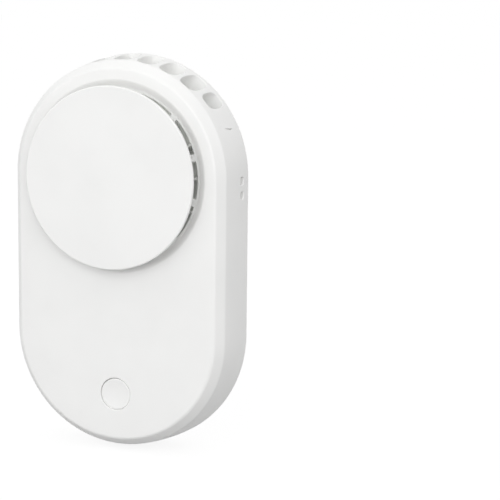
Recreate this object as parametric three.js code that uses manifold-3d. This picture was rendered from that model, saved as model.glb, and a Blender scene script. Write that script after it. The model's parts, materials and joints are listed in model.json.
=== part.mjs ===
// Palm-sized eyelash fan: a pill-shaped housing with a dished intake under a raised disc,
// a motor-driven impeller behind it, and a row of outlet vents round the top end.
// Millimetres. +Z runs up the housing to the outlet end, the front faces -Y,
// and the origin is the centre of the flat back face.

import * as THREE from 'three';
import { mergeVertices } from 'three/addons/utils/BufferGeometryUtils.js';
import Module from 'manifold-3d';

const wasm = await Module();
wasm.setup();

// Housing
const BODY_WIDTH = 64.8; // at the parting edge, the widest place
const ARC_SPACING = 43; // between the centres of the two round ends
const REAR_DEPTH = 3.6; // back face to parting edge
const SHELL_DEPTH = 14.5; // parting edge to front face
const SIDE_DRAFT = 1.4; // how far each side leans in towards the front
const SIDE_CROWN = 0.25; // how far the side swells past a straight line
const BEVEL_INSET = 2.1;
const BEVEL_DEPTH = 2.6;
const REAR_EDGE_INSET = 5.8; // the rounded edge round the flat back
const WALL = 1.6;
const FACE_WALL = 1.8;
const PARTING_GAP = 0.15;
const LIP_HEIGHT = 0.9;
const LIP_WALL = 1.2;
const LIP_CLEARANCE = 0.3;

// Intake
const DISC_RADIUS = 24.5;
const DISC_RISE = 4.6; // front of the disc ahead of the front face
const DISC_THICKNESS = 1.4;
const DISC_EDGE = 0.8; // the disc thins to this at its rim
const DISC_EDGE_ROUND = 0.35;
const DISC_CHAMFER = 2.2; // width of the thinning
const DISH_RADIUS = 26.2;
const DISH_LIP_RADIUS = 23.6; // where the dish slope meets its floor
const DISH_DEPTH = 1.2;
const DISH_WALL = 1.6;
const WINDOW_LEDGE = 0.25; // flat between the dish slope and the windows
const WINDOW_COUNT = 12;
const POST_WIDTH = 2;
const SKIRT_RADIUS = 13; // ring under the disc that stands on the hub of the dish
const SKIRT_WALL = 1.2;
const SKIRT_LEDGE = 1.5; // hub of the dish past the skirt
const STAKE_COUNT = 4;
const STAKE_INSET = 2.2; // stake middle inside the skirt
const STAKE_RADIUS = 1.1;
const STAKE_RUNNING_GAP = 0.3; // stake end to the front of the blades

// Outlet vents round the top end
const VENT_COUNT = 9;
const VENT_PITCH = 12.4; // degrees
const VENT_WIDTH = 5.1;
const VENT_LENGTH = 8.8;
const VENT_CORNER = 2.4;
const VENT_FORWARD = 0.25; // middle of the vents ahead of the middle of the side wall
const DUCT_END_WALL = 1.9; // degrees past half a pitch beyond the last vent
const BLIND_VENT_SINK = 0.55; // depth of the closed vent's lower end
const BLIND_VENT_TILT = 5.5; // degrees

// Blower chamber
const SCROLL_START_GAP = 1.1; // impeller to wall at the cut-off
const SCROLL_GROWTH = 2.6;
const SCROLL_WALL = 1.2;
const SCROLL_END_OVERLAP = 3; // degrees that the wall runs into the duct block
const CHAMBER_JOINT_STEP = 1.2; // parting edge to where the scroll meets the rib of the rear cover

// Impeller
const IMPELLER_RADIUS = 24.5;
const BLADE_COUNT = 15;
const BLADE_THICKNESS = 0.75;
const BLADE_SWEEP = 16; // degrees from root to tip
const BLADE_PHASE = 1; // degrees
const BACK_PLATE = 1;
const INTAKE_RUNNING_GAP = 0.9;
const PLATE_RUNNING_GAP = 1.3; // back plate to the heads of the motor screws
const HUB_WALL = 1.2;
const HUB_CAP = 1;

// Motor
const SHAFT_RADIUS = 1;
const BEARING_WALL = 1.1;
const BEARING_TUBE_WALL = 0.7;
const MOTOR_BOSS_HEIGHT = 1.2;
const MOTOR_BOSS_RADIUS = 2.2;
const MOTOR_BASE_RADIUS = 15;
const MOTOR_BASE_THICKNESS = 1.2;
const MOTOR_SCREW_INSET = 2.4; // from the edge of the motor base
const MOTOR_SCREW_COUNT = 3;
const MOTOR_BOARD_MARGIN = 0.8; // board past the stator
const MOTOR_BOARD_THICKNESS = 0.8;
const STATOR_HEIGHT = 3;
const STATOR_RADIUS = 7.2;
const STATOR_POLES = 6;
const STATOR_HUB_WALL = 1.1;
const TOOTH_WIDTH = 1.8;
const SHOE_THICKNESS = 0.8;
const SHOE_SPAN = 42; // degrees
const COIL_WALL = 0.7;
const COIL_WINDOW_CORNER = 0.2;
const AIR_GAP = 0.4;
const MAGNET_WALL = 1.2;
const MAGNET_HEIGHT = 4.6;
const CUP_WALL = 0.6;
const CUP_TOP = 0.7;
const CLIP_RADIUS = 2;
const CLIP_THICKNESS = 0.4;
const HALL_SENSOR = [1.5, 0.9, 1.4];

// Button, switch and control board
const BUTTON_RADIUS = 4.3;
const BUTTON_GAP = 0.3;
const BUTTON_BELOW_BOARD_TOP = 5.2;
const BUTTON_RECESS = 0.1;
const BUTTON_FLANGE = 1.3; // how far the flange reaches past the cap
const BUTTON_FLANGE_THICKNESS = 1;
const BUTTON_STEM_RADIUS = 1.5;
const BUTTON_DISH = 0.25; // depth of the finger hollow
const BUTTON_RIM = 0.45; // flat rim round the hollow
const GUIDE_WALL = 1.1;
const GUIDE_HEIGHT = 1.9;
const PLUNGER_GAP = 0.25; // free play between stem and plunger
const PLUNGER_RADIUS = 1.7;
const PLUNGER_PROUD = 1.1;
const PLUNGER_SUNK = 0.5;
const PLUNGER_TRAVEL_ROOM = 0.4;
const SWITCH_SIZE = 6;
const SWITCH_HEIGHT = 3.3;
const BOARD_THICKNESS = 1;
const BOARD_SIDE_GAP = 2.2; // board edge to the lower case bosses
const BOARD_BELOW_BATTERY = 1.2;
const BOARD_EDGE_GAP = 0.9;
const BOARD_BOSS_HEIGHT = 7.2; // from the inside of the front face
const BOARD_BOSS_RADIUS = 2;
const BOARD_BOSS_INSET = 2.2; // from the side edge of the board
const BOARD_BOSS_BELOW_TOP = 2.4;
const CHIP_SIZE = [4.9, 1.5, 3.9];
const INDUCTOR_SIZE = [4, 2, 4];
const CHIP_FROM_MIDDLE = 4.6;
const CHIP_BELOW_TOP = 11.7;
const PART_CORNER = 0.5;

// Charging socket
const USB_WIDTH = 8.94;
const USB_HEIGHT = 3.26;
const USB_LENGTH = 7.3;
const USB_WALL = 0.3;
const USB_CORNER = 1.5;
const USB_RECESS = 0.4; // mouth behind the outside of the housing
const USB_TONGUE_WIDTH = 6.7;
const USB_TONGUE_THICKNESS = 0.7;
const USB_TONGUE_CORNER = 0.15;
const USB_TONGUE_LENGTH = 4.6;
const USB_BLOCK_LENGTH = 1.8;
const PORT_CLEARANCE = 0.35;

// Battery and leads
const BATTERY_WIDTH = 44;
const BATTERY_HEIGHT = 22;
const BATTERY_DEPTH = 10;
const BATTERY_CORNER = 2.5;
const BATTERY_BELOW_SCROLL = 3;
const PAD_THICKNESS = 2;
const PAD_INSET = 5;
const RAIL_WALL = 1;
const RAIL_HEIGHT = 6;
const RAIL_GAP = 0.4;
const RAIL_LENGTH = 14;
const LEAD_RADIUS = 0.5;
const MOTOR_LEAD_X = 1.1;
const BATTERY_LEAD_GAP = 1.6; // lead to the heads of the board screws
const LEAD_LANDING = 3.6; // length soldered down on the board
const LEAD_DROP = 5; // run in which the leads drop behind the motor base
const LEAD_SLOT = 1; // room each side of the leads where they leave the chamber

// Screws
const SCREW_RADIUS = 0.85;
const SCREW_HEAD_RADIUS = 1.7;
const SCREW_HEAD_HEIGHT = 0.9;
const SCREW_HOLE_CLEARANCE = 0.3;
const SCREW_SLOT_WIDTH = 0.5;
const SCREW_SLOT_DEPTH = 0.4;
const SCREW_SLOT_LENGTH = 2;
const CASE_SCREW_LENGTH = 7;
const CASE_SCREW_SINK = 0.4; // head below the back face
const CASE_BOSS_RADIUS = 2.3;
const CASE_PAD_RADIUS = 3.2;
const CASE_PAD_HEIGHT = 1.6;
const CASE_BOSS_FROM_SIDE = 9;
const UPPER_BOSS_BELOW_AXIS = 25.9; // below the blower axis
const LOWER_BOSS_ANGLE = 41.5; // degrees from straight down
const MOTOR_SCREW_LENGTH = 2.2;
const BOARD_SCREW_LENGTH = 4;
const PILOT_EXTRA = 0.6; // pilot hole deeper than the screw

// Lanyard eyelet on the right-hand side: two holes with a bar between them
const EYELET_BELOW_AXIS = 5.4; // middle of the bar below the blower axis
const EYELET_SPACING = 4.6;
const EYELET_HEIGHT = 2;
const EYELET_WIDTH = 1.7;
const EYELET_CORNER = 0.7;
const EYELET_FROM_PARTING = 2.7;

// Clearances between pieces that touch
const SEAT_GAP = 0.1;
const FIT_GAP = 0.3;
const OVERLAP = 0.4; // how far joined features run into each other
const OVERRUN = 2; // how far a cut runs out past the housing

// Fineness of round shapes
const END_SEGMENTS = 21; // odd, so that each end finishes on a facet and not on a corner
const LIP_SEGMENTS = 10;
const WIDE_SEGMENTS = 40;
const MIDDLE_SEGMENTS = 24;
const ROUND_SEGMENTS = 10;
const WIRE_SEGMENTS = 8;
const CORNER_STEPS = 2; // pairs of facets in a rounded corner
const SIDE_STEPS = 3;
const REAR_EDGE_STEPS = 4;
const SCROLL_STEPS = 24;
const CURVE_STEPS = 4; // in the dish slope, the finger hollow and the blades
const DUCT_STEPS = 10;
const SHORT_LEAD_STEPS = 4;
const LONG_LEAD_STEPS = 20;

// Places that follow from the sizes above
const ARC_Z = ARC_SPACING / 2;
const PARTING_Y = -REAR_DEPTH;
const FRONT_Y = PARTING_Y - SHELL_DEPTH;
const FACE_INSIDE_Y = FRONT_Y + FACE_WALL;
const DISH_FLOOR_Y = FRONT_Y + DISH_DEPTH;
const DISH_BACK_Y = DISH_FLOOR_Y + DISH_WALL;
const DISC_FRONT_Y = FRONT_Y - DISC_RISE;
const REAR_FLOOR_Y = -WALL;
const SIDE_FRONT_Y = FRONT_Y + BEVEL_DEPTH;
const VENT_Y = (PARTING_Y + SIDE_FRONT_Y) / 2 - VENT_FORWARD;
const CHAMBER_JOINT_Y = PARTING_Y - CHAMBER_JOINT_STEP;
const WINDOW_OUTER_RADIUS = DISH_LIP_RADIUS - WINDOW_LEDGE;
const WINDOW_INNER_RADIUS = SKIRT_RADIUS + SKIRT_LEDGE;
const STAKE_CIRCLE = SKIRT_RADIUS - SKIRT_WALL - STAKE_INSET;
const BLADE_FRONT_Y = DISH_BACK_Y + INTAKE_RUNNING_GAP;
const STAKE_END_Y = BLADE_FRONT_Y - STAKE_RUNNING_GAP;
const MOTOR_BASE_REAR_Y = REAR_FLOOR_Y - MOTOR_BOSS_HEIGHT - SEAT_GAP;
const MOTOR_BASE_FRONT_Y = MOTOR_BASE_REAR_Y - MOTOR_BASE_THICKNESS;
const MOTOR_SCREW_SEAT_Y = MOTOR_BASE_FRONT_Y - SEAT_GAP;
const MOTOR_SCREW_CIRCLE = MOTOR_BASE_RADIUS - MOTOR_SCREW_INSET;
const BACK_PLATE_REAR_Y = MOTOR_SCREW_SEAT_Y - SCREW_HEAD_HEIGHT - PLATE_RUNNING_GAP;
const BACK_PLATE_FRONT_Y = BACK_PLATE_REAR_Y - BACK_PLATE;
const MOTOR_BOARD_REAR_Y = MOTOR_BASE_FRONT_Y - SEAT_GAP;
const MOTOR_BOARD_RADIUS = STATOR_RADIUS + MOTOR_BOARD_MARGIN;
const MOTOR_BOARD_FRONT_Y = MOTOR_BOARD_REAR_Y - MOTOR_BOARD_THICKNESS;
const COIL_OVERHANG = FIT_GAP + COIL_WALL;
const STATOR_REAR_Y = MOTOR_BOARD_FRONT_Y - FIT_GAP - COIL_OVERHANG;
const STATOR_FRONT_Y = STATOR_REAR_Y - STATOR_HEIGHT;
const STATOR_MIDDLE_Y = (STATOR_REAR_Y + STATOR_FRONT_Y) / 2;
const CUP_INSIDE_Y = STATOR_FRONT_Y - COIL_OVERHANG - FIT_GAP;
const CUP_FRONT_Y = CUP_INSIDE_Y - CUP_TOP;
const BEARING_RADIUS = SHAFT_RADIUS + SEAT_GAP + BEARING_WALL;
const TUBE_INNER_RADIUS = BEARING_RADIUS + SEAT_GAP;
const TUBE_RADIUS = TUBE_INNER_RADIUS + BEARING_TUBE_WALL;
const MAGNET_INNER_RADIUS = STATOR_RADIUS + AIR_GAP;
const MAGNET_RADIUS = MAGNET_INNER_RADIUS + MAGNET_WALL;
const CUP_INNER_RADIUS = MAGNET_RADIUS + SEAT_GAP;
const CUP_RADIUS = CUP_INNER_RADIUS + CUP_WALL;
const MAGNET_REAR_Y = STATOR_MIDDLE_Y + MAGNET_HEIGHT / 2;
const HUB_INNER_RADIUS = CUP_RADIUS + SEAT_GAP;
const HUB_RADIUS = HUB_INNER_RADIUS + HUB_WALL;
const HUB_CAP_REAR_Y = CUP_FRONT_Y - SEAT_GAP;
const SCROLL_RADIUS = IMPELLER_RADIUS + SCROLL_START_GAP;
const DUCT_HALF_ANGLE = VENT_PITCH * VENT_COUNT / 2 + DUCT_END_WALL;
const CASE_BOSS_X = BODY_WIDTH / 2 - CASE_BOSS_FROM_SIDE;
const UPPER_BOSS = [CASE_BOSS_X, ARC_Z - UPPER_BOSS_BELOW_AXIS];
const LOWER_BOSS_OFFSET = polar(CASE_BOSS_X, degrees(LOWER_BOSS_ANGLE));
const LOWER_BOSS = [LOWER_BOSS_OFFSET.x, -ARC_Z - LOWER_BOSS_OFFSET.y];
const CASE_BOSSES = [UPPER_BOSS, LOWER_BOSS].flatMap(([x, z]) => [[x, z], [-x, z]]);
const SCROLL_BOTTOM_Z = ARC_Z - SCROLL_RADIUS - SCROLL_GROWTH / 2 - SCROLL_WALL;
const BATTERY_TOP_Z = SCROLL_BOTTOM_Z - BATTERY_BELOW_SCROLL;
const BATTERY_BOTTOM_Z = BATTERY_TOP_Z - BATTERY_HEIGHT;
const BATTERY_Z = (BATTERY_TOP_Z + BATTERY_BOTTOM_Z) / 2;
const BATTERY_FRONT_Y = FACE_INSIDE_Y + PAD_THICKNESS + 2 * SEAT_GAP;
const BATTERY_REAR_Y = BATTERY_FRONT_Y + BATTERY_DEPTH;
const BOARD_TOP_Z = BATTERY_BOTTOM_Z - BOARD_BELOW_BATTERY;
const BOARD_HALF_WIDTH = LOWER_BOSS[0] - CASE_BOSS_RADIUS - BOARD_SIDE_GAP;
const BOARD_FRONT_Y = FACE_INSIDE_Y + BOARD_BOSS_HEIGHT + SEAT_GAP;
const BOARD_REAR_Y = BOARD_FRONT_Y + BOARD_THICKNESS;
const BOARD_BOSS_X = BOARD_HALF_WIDTH - BOARD_BOSS_INSET;
const BATTERY_LEAD_X = BOARD_BOSS_X - SCREW_HEAD_RADIUS - BATTERY_LEAD_GAP - LEAD_RADIUS;
const BOARD_BOSS_Z = BOARD_TOP_Z - BOARD_BOSS_BELOW_TOP;
const BUTTON_Z = BOARD_TOP_Z - BUTTON_BELOW_BOARD_TOP;
const SWITCH_FRONT_Y = BOARD_FRONT_Y - SEAT_GAP - SWITCH_HEIGHT;
const PLUNGER_FRONT_Y = SWITCH_FRONT_Y - PLUNGER_PROUD;
const FLANGE_FRONT_Y = FACE_INSIDE_Y + SEAT_GAP;
const FLANGE_REAR_Y = FLANGE_FRONT_Y + BUTTON_FLANGE_THICKNESS;
const FLANGE_RADIUS = BUTTON_RADIUS + BUTTON_FLANGE;
const USB_Y = BOARD_FRONT_Y - SEAT_GAP - USB_HEIGHT / 2;
const USB_MOUTH_Z = USB_RECESS - ARC_Z - sideHalfWidth(USB_Y);
const PILOT_RADIUS = SCREW_RADIUS + SCREW_HOLE_CLEARANCE;
const CASE_PAD_FRONT_Y = REAR_FLOOR_Y - CASE_PAD_HEIGHT;
const CASE_BOSS_REAR_Y = CASE_PAD_FRONT_Y - SEAT_GAP;
const CASE_HEAD_FRONT_Y = -CASE_SCREW_SINK - SCREW_HEAD_HEIGHT;

// Half width of the housing's side wall at a depth
function sideHalfWidth(y) {
  const forward = (PARTING_Y - y) / (SHELL_DEPTH - BEVEL_DEPTH);
  const swell = 4 * SIDE_CROWN * forward * (1 - forward);
  return BODY_WIDTH / 2 - SIDE_DRAFT * forward + swell;
}

// Solids and their joins

function solid(geometry) {
  const bare = geometry.clone();
  bare.deleteAttribute('normal');
  bare.deleteAttribute('uv');
  const merged = mergeVertices(bare, 1e-5);
  const corners = merged.index.array;
  const kept = [];
  for (let i = 0; i < corners.length; i += 3) {
    const [a, b, c] = [corners[i], corners[i + 1], corners[i + 2]];
    if (a !== b && b !== c && c !== a) kept.push(a, b, c);
  }
  return new wasm.Manifold(new wasm.Mesh({
    numProp: 3,
    vertProperties: new Float32Array(merged.attributes.position.array),
    triVerts: new Uint32Array(kept),
  }));
}

function join(...solids) {
  return solids.reduce((all, next) => all.add(next));
}

function cut(base, ...tools) {
  return tools.reduce((left, tool) => left.subtract(tool), base);
}

function geometryOf(body) {
  const { vertProperties, triVerts } = body.getMesh();
  const geometry = new THREE.BufferGeometry();
  geometry.setAttribute('position', new THREE.BufferAttribute(new Float32Array(vertProperties), 3));
  geometry.setIndex(new THREE.BufferAttribute(new Uint32Array(triVerts), 1));
  geometry.computeVertexNormals();
  return geometry;
}

// Basic forms

// A flat shape drawn in X and Z, given its thickness from yRear forwards to yFront
function plate(shape, yRear, yFront, curveSegments = 6) {
  const options = { depth: yRear - yFront, bevelEnabled: false, curveSegments };
  const geometry = new THREE.ExtrudeGeometry(shape, options);
  geometry.rotateX(Math.PI / 2);
  geometry.translate(0, yRear, 0);
  return solid(geometry);
}

function rod(radius, yRear, yFront, x, z, segments = ROUND_SEGMENTS) {
  const geometry = new THREE.CylinderGeometry(radius, radius, yRear - yFront, segments);
  geometry.translate(x, (yRear + yFront) / 2, z);
  return solid(geometry);
}

function block(x0, x1, y0, y1, z0, z1) {
  const geometry = new THREE.BoxGeometry(x1 - x0, y1 - y0, z1 - z0);
  geometry.translate((x0 + x1) / 2, (y0 + y1) / 2, (z0 + z1) / 2);
  return solid(geometry);
}

// A profile of [radius, y] pairs turned about the blower axis
function turned(profile, segments = WIDE_SEGMENTS) {
  const points = profile.map(([radius, y]) => new THREE.Vector2(radius, y));
  if (THREE.ShapeUtils.area(points) < 0) points.reverse();
  const touchesAxis = points[0].x === 0 && points[points.length - 1].x === 0;
  if (!touchesAxis) points.push(points[0].clone());
  const halfFacet = Math.PI / segments; // puts a facet, not a corner, at the lowest point
  const geometry = new THREE.LatheGeometry(points, segments, halfFacet);
  geometry.translate(0, 0, ARC_Z);
  return solid(geometry);
}

function ring(innerRadius, outerRadius, yRear, yFront, segments = WIDE_SEGMENTS) {
  const profile = [[innerRadius, yFront], [outerRadius, yFront], [outerRadius, yRear], [innerRadius, yRear]];
  return turned(profile, segments);
}

function roundedRectangle(width, height, corner, x = 0, y = 0) {
  const shape = new THREE.Shape();
  const right = x + width / 2;
  const top = y + height / 2;
  const left = x - width / 2;
  const bottom = y - height / 2;
  shape.moveTo(right, bottom + corner);
  shape.absarc(right - corner, top - corner, corner, 0, Math.PI / 2);
  shape.absarc(left + corner, top - corner, corner, Math.PI / 2, Math.PI);
  shape.absarc(left + corner, bottom + corner, corner, Math.PI, 1.5 * Math.PI);
  shape.absarc(right - corner, bottom + corner, corner, 1.5 * Math.PI, 2 * Math.PI);
  return shape;
}

function stadium(halfWidth) {
  const shape = new THREE.Shape();
  shape.moveTo(halfWidth, -ARC_Z);
  shape.absarc(0, ARC_Z, halfWidth, 0, Math.PI);
  shape.absarc(0, -ARC_Z, halfWidth, Math.PI, 2 * Math.PI);
  return shape;
}

// Skin through pill-shaped outlines, given as [half width, y] from rear to front, closed at both ends
function loft(stations) {
  const ringSize = 2 * (END_SEGMENTS + 1);
  const positions = [];
  for (const [halfWidth, y] of stations) {
    for (const end of [1, -1]) {
      for (let i = 0; i <= END_SEGMENTS; i += 1) {
        const angle = Math.PI * (i / END_SEGMENTS + (end < 0 ? 1 : 0));
        positions.push(halfWidth * Math.cos(angle), y, end * ARC_Z + halfWidth * Math.sin(angle));
      }
    }
  }
  const rearCentre = stations.length * ringSize;
  const frontCentre = rearCentre + 1;
  const lastRing = (stations.length - 1) * ringSize;
  positions.push(0, stations[0][1], 0);
  positions.push(0, stations[stations.length - 1][1], 0);
  const indices = [];
  for (let i = 0; i < ringSize; i += 1) {
    const next = (i + 1) % ringSize;
    for (let start = 0; start < lastRing; start += ringSize) {
      const front = start + ringSize;
      indices.push(start + i, start + next, front + i);
      indices.push(start + next, front + next, front + i);
    }
    indices.push(rearCentre, next, i);
    indices.push(frontCentre, lastRing + i, lastRing + next);
  }
  const geometry = new THREE.BufferGeometry();
  geometry.setAttribute('position', new THREE.Float32BufferAttribute(positions, 3));
  geometry.setIndex(indices);
  return solid(geometry);
}

// A [half width, y] outline moved inwards, with one thickness for each of its straight pieces
function movedInwards(outline, thicknesses) {
  const lines = [];
  for (let i = 0; i + 1 < outline.length; i += 1) {
    const from = new THREE.Vector2(...outline[i]);
    const along = new THREE.Vector2(...outline[i + 1]).sub(from).normalize();
    const inwards = new THREE.Vector2(along.y, -along.x).multiplyScalar(thicknesses[i]);
    lines.push({ from: from.add(inwards), along });
  }
  const corners = [lines[0].from.toArray()];
  for (let i = 0; i + 1 < lines.length; i += 1) {
    const [a, b] = [lines[i], lines[i + 1]];
    const turn = a.along.cross(b.along);
    const reach = b.from.clone().sub(a.from).cross(b.along) / turn;
    corners.push(a.from.clone().addScaledVector(a.along, reach).toArray());
  }
  return corners;
}

// A point on the XZ plane at a radius and an angle clockwise from straight up
function polar(radius, angle) {
  return new THREE.Vector2(radius * Math.sin(angle), radius * Math.cos(angle));
}

function degrees(angle) {
  return THREE.MathUtils.degToRad(angle);
}

// A piece of a flat ring about the blower axis between two angles clockwise from straight up,
// with half a bar width kept free along each end
function sector(innerRadius, outerRadius, start, end, halfBar = 0) {
  const shape = new THREE.Shape();
  const inset = (radius) => Math.asin(halfBar / radius);
  const upright = Math.PI / 2;
  const outerStart = start + inset(outerRadius);
  const outerEnd = end - inset(outerRadius);
  const innerStart = start + inset(innerRadius);
  const innerEnd = end - inset(innerRadius);
  const first = polar(innerRadius, innerStart);
  shape.moveTo(first.x, ARC_Z + first.y);
  shape.absarc(0, ARC_Z, outerRadius, upright - outerStart, upright - outerEnd, true);
  shape.absarc(0, ARC_Z, innerRadius, upright - innerEnd, upright - innerStart, false);
  return shape;
}

// Places spaced evenly round the blower axis, as angles
function around(count, first = 0) {
  return Array.from({ length: count }, (_, i) => first + (2 * Math.PI * i) / count);
}

function onBlowerCircle(radius, angle) {
  const point = polar(radius, angle);
  return [point.x, ARC_Z + point.y];
}

// A straight tool along a radius of the top end, drawn as across by Y
function radialTool(shape, fromRadius, toRadius, angle, y, curveSegments = CORNER_STEPS) {
  const options = { depth: toRadius - fromRadius, bevelEnabled: false, curveSegments };
  const geometry = new THREE.ExtrudeGeometry(shape, options);
  geometry.translate(0, 0, fromRadius);
  geometry.rotateY(angle);
  geometry.translate(0, y, ARC_Z);
  return solid(geometry);
}

// Housing

function frontOutline() {
  const stations = [];
  for (let i = 0; i <= SIDE_STEPS; i += 1) {
    const y = THREE.MathUtils.lerp(PARTING_Y, SIDE_FRONT_Y, i / SIDE_STEPS);
    stations.push([sideHalfWidth(y), y]);
  }
  stations.push([sideHalfWidth(SIDE_FRONT_Y) - BEVEL_INSET, FRONT_Y]);
  return stations;
}

function rearOutline() {
  const rimY = PARTING_Y + PARTING_GAP;
  const rim = BODY_WIDTH / 2;
  const halfTurn = Math.atan2(-rimY, REAR_EDGE_INSET);
  const radius = REAR_EDGE_INSET / Math.sin(2 * halfTurn);
  const flat = rim - REAR_EDGE_INSET;
  const stations = [];
  for (let i = 0; i <= REAR_EDGE_STEPS; i += 1) {
    const turn = (2 * halfTurn * i) / REAR_EDGE_STEPS;
    stations.push([flat + radius * Math.sin(turn), radius * (Math.cos(turn) - 1)]);
  }
  return stations;
}

// The scroll's wall: a spiral that widens from the cut-off, round below the impeller
function scrollShape() {
  const start = degrees(DUCT_HALF_ANGLE - SCROLL_END_OVERLAP);
  const end = 2 * Math.PI - start;
  const points = [];
  for (const [side, thickness] of [[0, 0], [1, SCROLL_WALL]]) {
    for (let i = 0; i <= SCROLL_STEPS; i += 1) {
      const share = (side ? SCROLL_STEPS - i : i) / SCROLL_STEPS;
      const radius = SCROLL_RADIUS + SCROLL_GROWTH * share + thickness;
      points.push(polar(radius, start + (end - start) * share).add(new THREE.Vector2(0, ARC_Z)));
    }
  }
  return new THREE.Shape(points);
}

function ventTools() {
  const opening = roundedRectangle(VENT_WIDTH, VENT_LENGTH, VENT_CORNER);
  const outside = BODY_WIDTH / 2 + OVERRUN;
  const first = -(VENT_COUNT - 1) / 2;
  const tools = [];
  for (let i = 0; i < VENT_COUNT; i += 1) {
    const angle = degrees(VENT_PITCH * (first + i));
    tools.push(radialTool(opening, SCROLL_RADIUS - OVERLAP, outside, angle, VENT_Y));
  }
  return tools;
}

// The vent past the last open one is closed: a hollow that deepens towards its lower end
function blindVentTools() {
  const opening = roundedRectangle(VENT_WIDTH, VENT_LENGTH, VENT_CORNER);
  const floorRadius = sideHalfWidth(VENT_Y) - BLIND_VENT_SINK / 2;
  const depth = BODY_WIDTH / 2 + OVERRUN - floorRadius;
  return [-1, 1].map((side) => {
    const options = { depth, bevelEnabled: false, curveSegments: CORNER_STEPS };
    const geometry = new THREE.ExtrudeGeometry(opening, options);
    geometry.rotateY(side * degrees(BLIND_VENT_TILT));
    geometry.translate(0, 0, floorRadius);
    geometry.rotateY(side * degrees(VENT_PITCH * (VENT_COUNT + 1) / 2));
    geometry.translate(0, VENT_Y, ARC_Z);
    return solid(geometry);
  });
}

// The dish: an S-shaped slope from the front face down to a flat floor
function dishSlope() {
  const points = [];
  for (let i = 0; i <= CURVE_STEPS; i += 1) {
    const share = i / CURVE_STEPS;
    const radius = THREE.MathUtils.lerp(DISH_RADIUS, DISH_LIP_RADIUS, share);
    points.push([radius, FRONT_Y + DISH_DEPTH * THREE.MathUtils.smoothstep(share, 0, 1)]);
  }
  return points;
}

function dishTool() {
  const above = FRONT_Y - OVERLAP;
  return turned([[0, above], [DISH_RADIUS, above], ...dishSlope(), [0, DISH_FLOOR_Y]]);
}

function dishBacking() {
  const front = FACE_INSIDE_Y - OVERLAP;
  return turned([
    [0, front], [DISH_RADIUS + WALL, front], [DISH_RADIUS + WALL, FACE_INSIDE_Y],
    [DISH_LIP_RADIUS + DISH_WALL / 2, DISH_BACK_Y], [0, DISH_BACK_Y],
  ]);
}

function windowTools() {
  const pitch = (2 * Math.PI) / WINDOW_COUNT;
  return around(WINDOW_COUNT, pitch / 2).map((start) => {
    const shape = sector(WINDOW_INNER_RADIUS, WINDOW_OUTER_RADIUS, start, start + pitch, POST_WIDTH / 2);
    return plate(shape, DISH_BACK_Y + OVERLAP, DISH_FLOOR_Y - OVERLAP, CORNER_STEPS);
  });
}

function stakePlaces() {
  return around(STAKE_COUNT, Math.PI / STAKE_COUNT).map((angle) => onBlowerCircle(STAKE_CIRCLE, angle));
}

function eyeletTools() {
  const y = PARTING_Y - EYELET_FROM_PARTING;
  const middle = ARC_Z - EYELET_BELOW_AXIS;
  return [middle + EYELET_SPACING / 2, middle - EYELET_SPACING / 2].map((z) => {
    const shape = roundedRectangle(EYELET_HEIGHT, EYELET_WIDTH, EYELET_CORNER);
    const options = { depth: 3 * WALL, bevelEnabled: false, curveSegments: 1 };
    const geometry = new THREE.ExtrudeGeometry(shape, options);
    geometry.rotateY(Math.PI / 2);
    geometry.translate(sideHalfWidth(y) - 2 * WALL, y, z);
    return solid(geometry);
  });
}

function portTool() {
  const shape = roundedRectangle(
    USB_WIDTH + 2 * PORT_CLEARANCE, USB_HEIGHT + 2 * PORT_CLEARANCE, USB_CORNER + PORT_CLEARANCE, 0, USB_Y,
  );
  const options = { depth: 4 * WALL, bevelEnabled: false, curveSegments: CORNER_STEPS };
  const geometry = new THREE.ExtrudeGeometry(shape, options);
  geometry.translate(0, 0, USB_MOUTH_Z - 2 * WALL);
  return solid(geometry);
}

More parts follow.
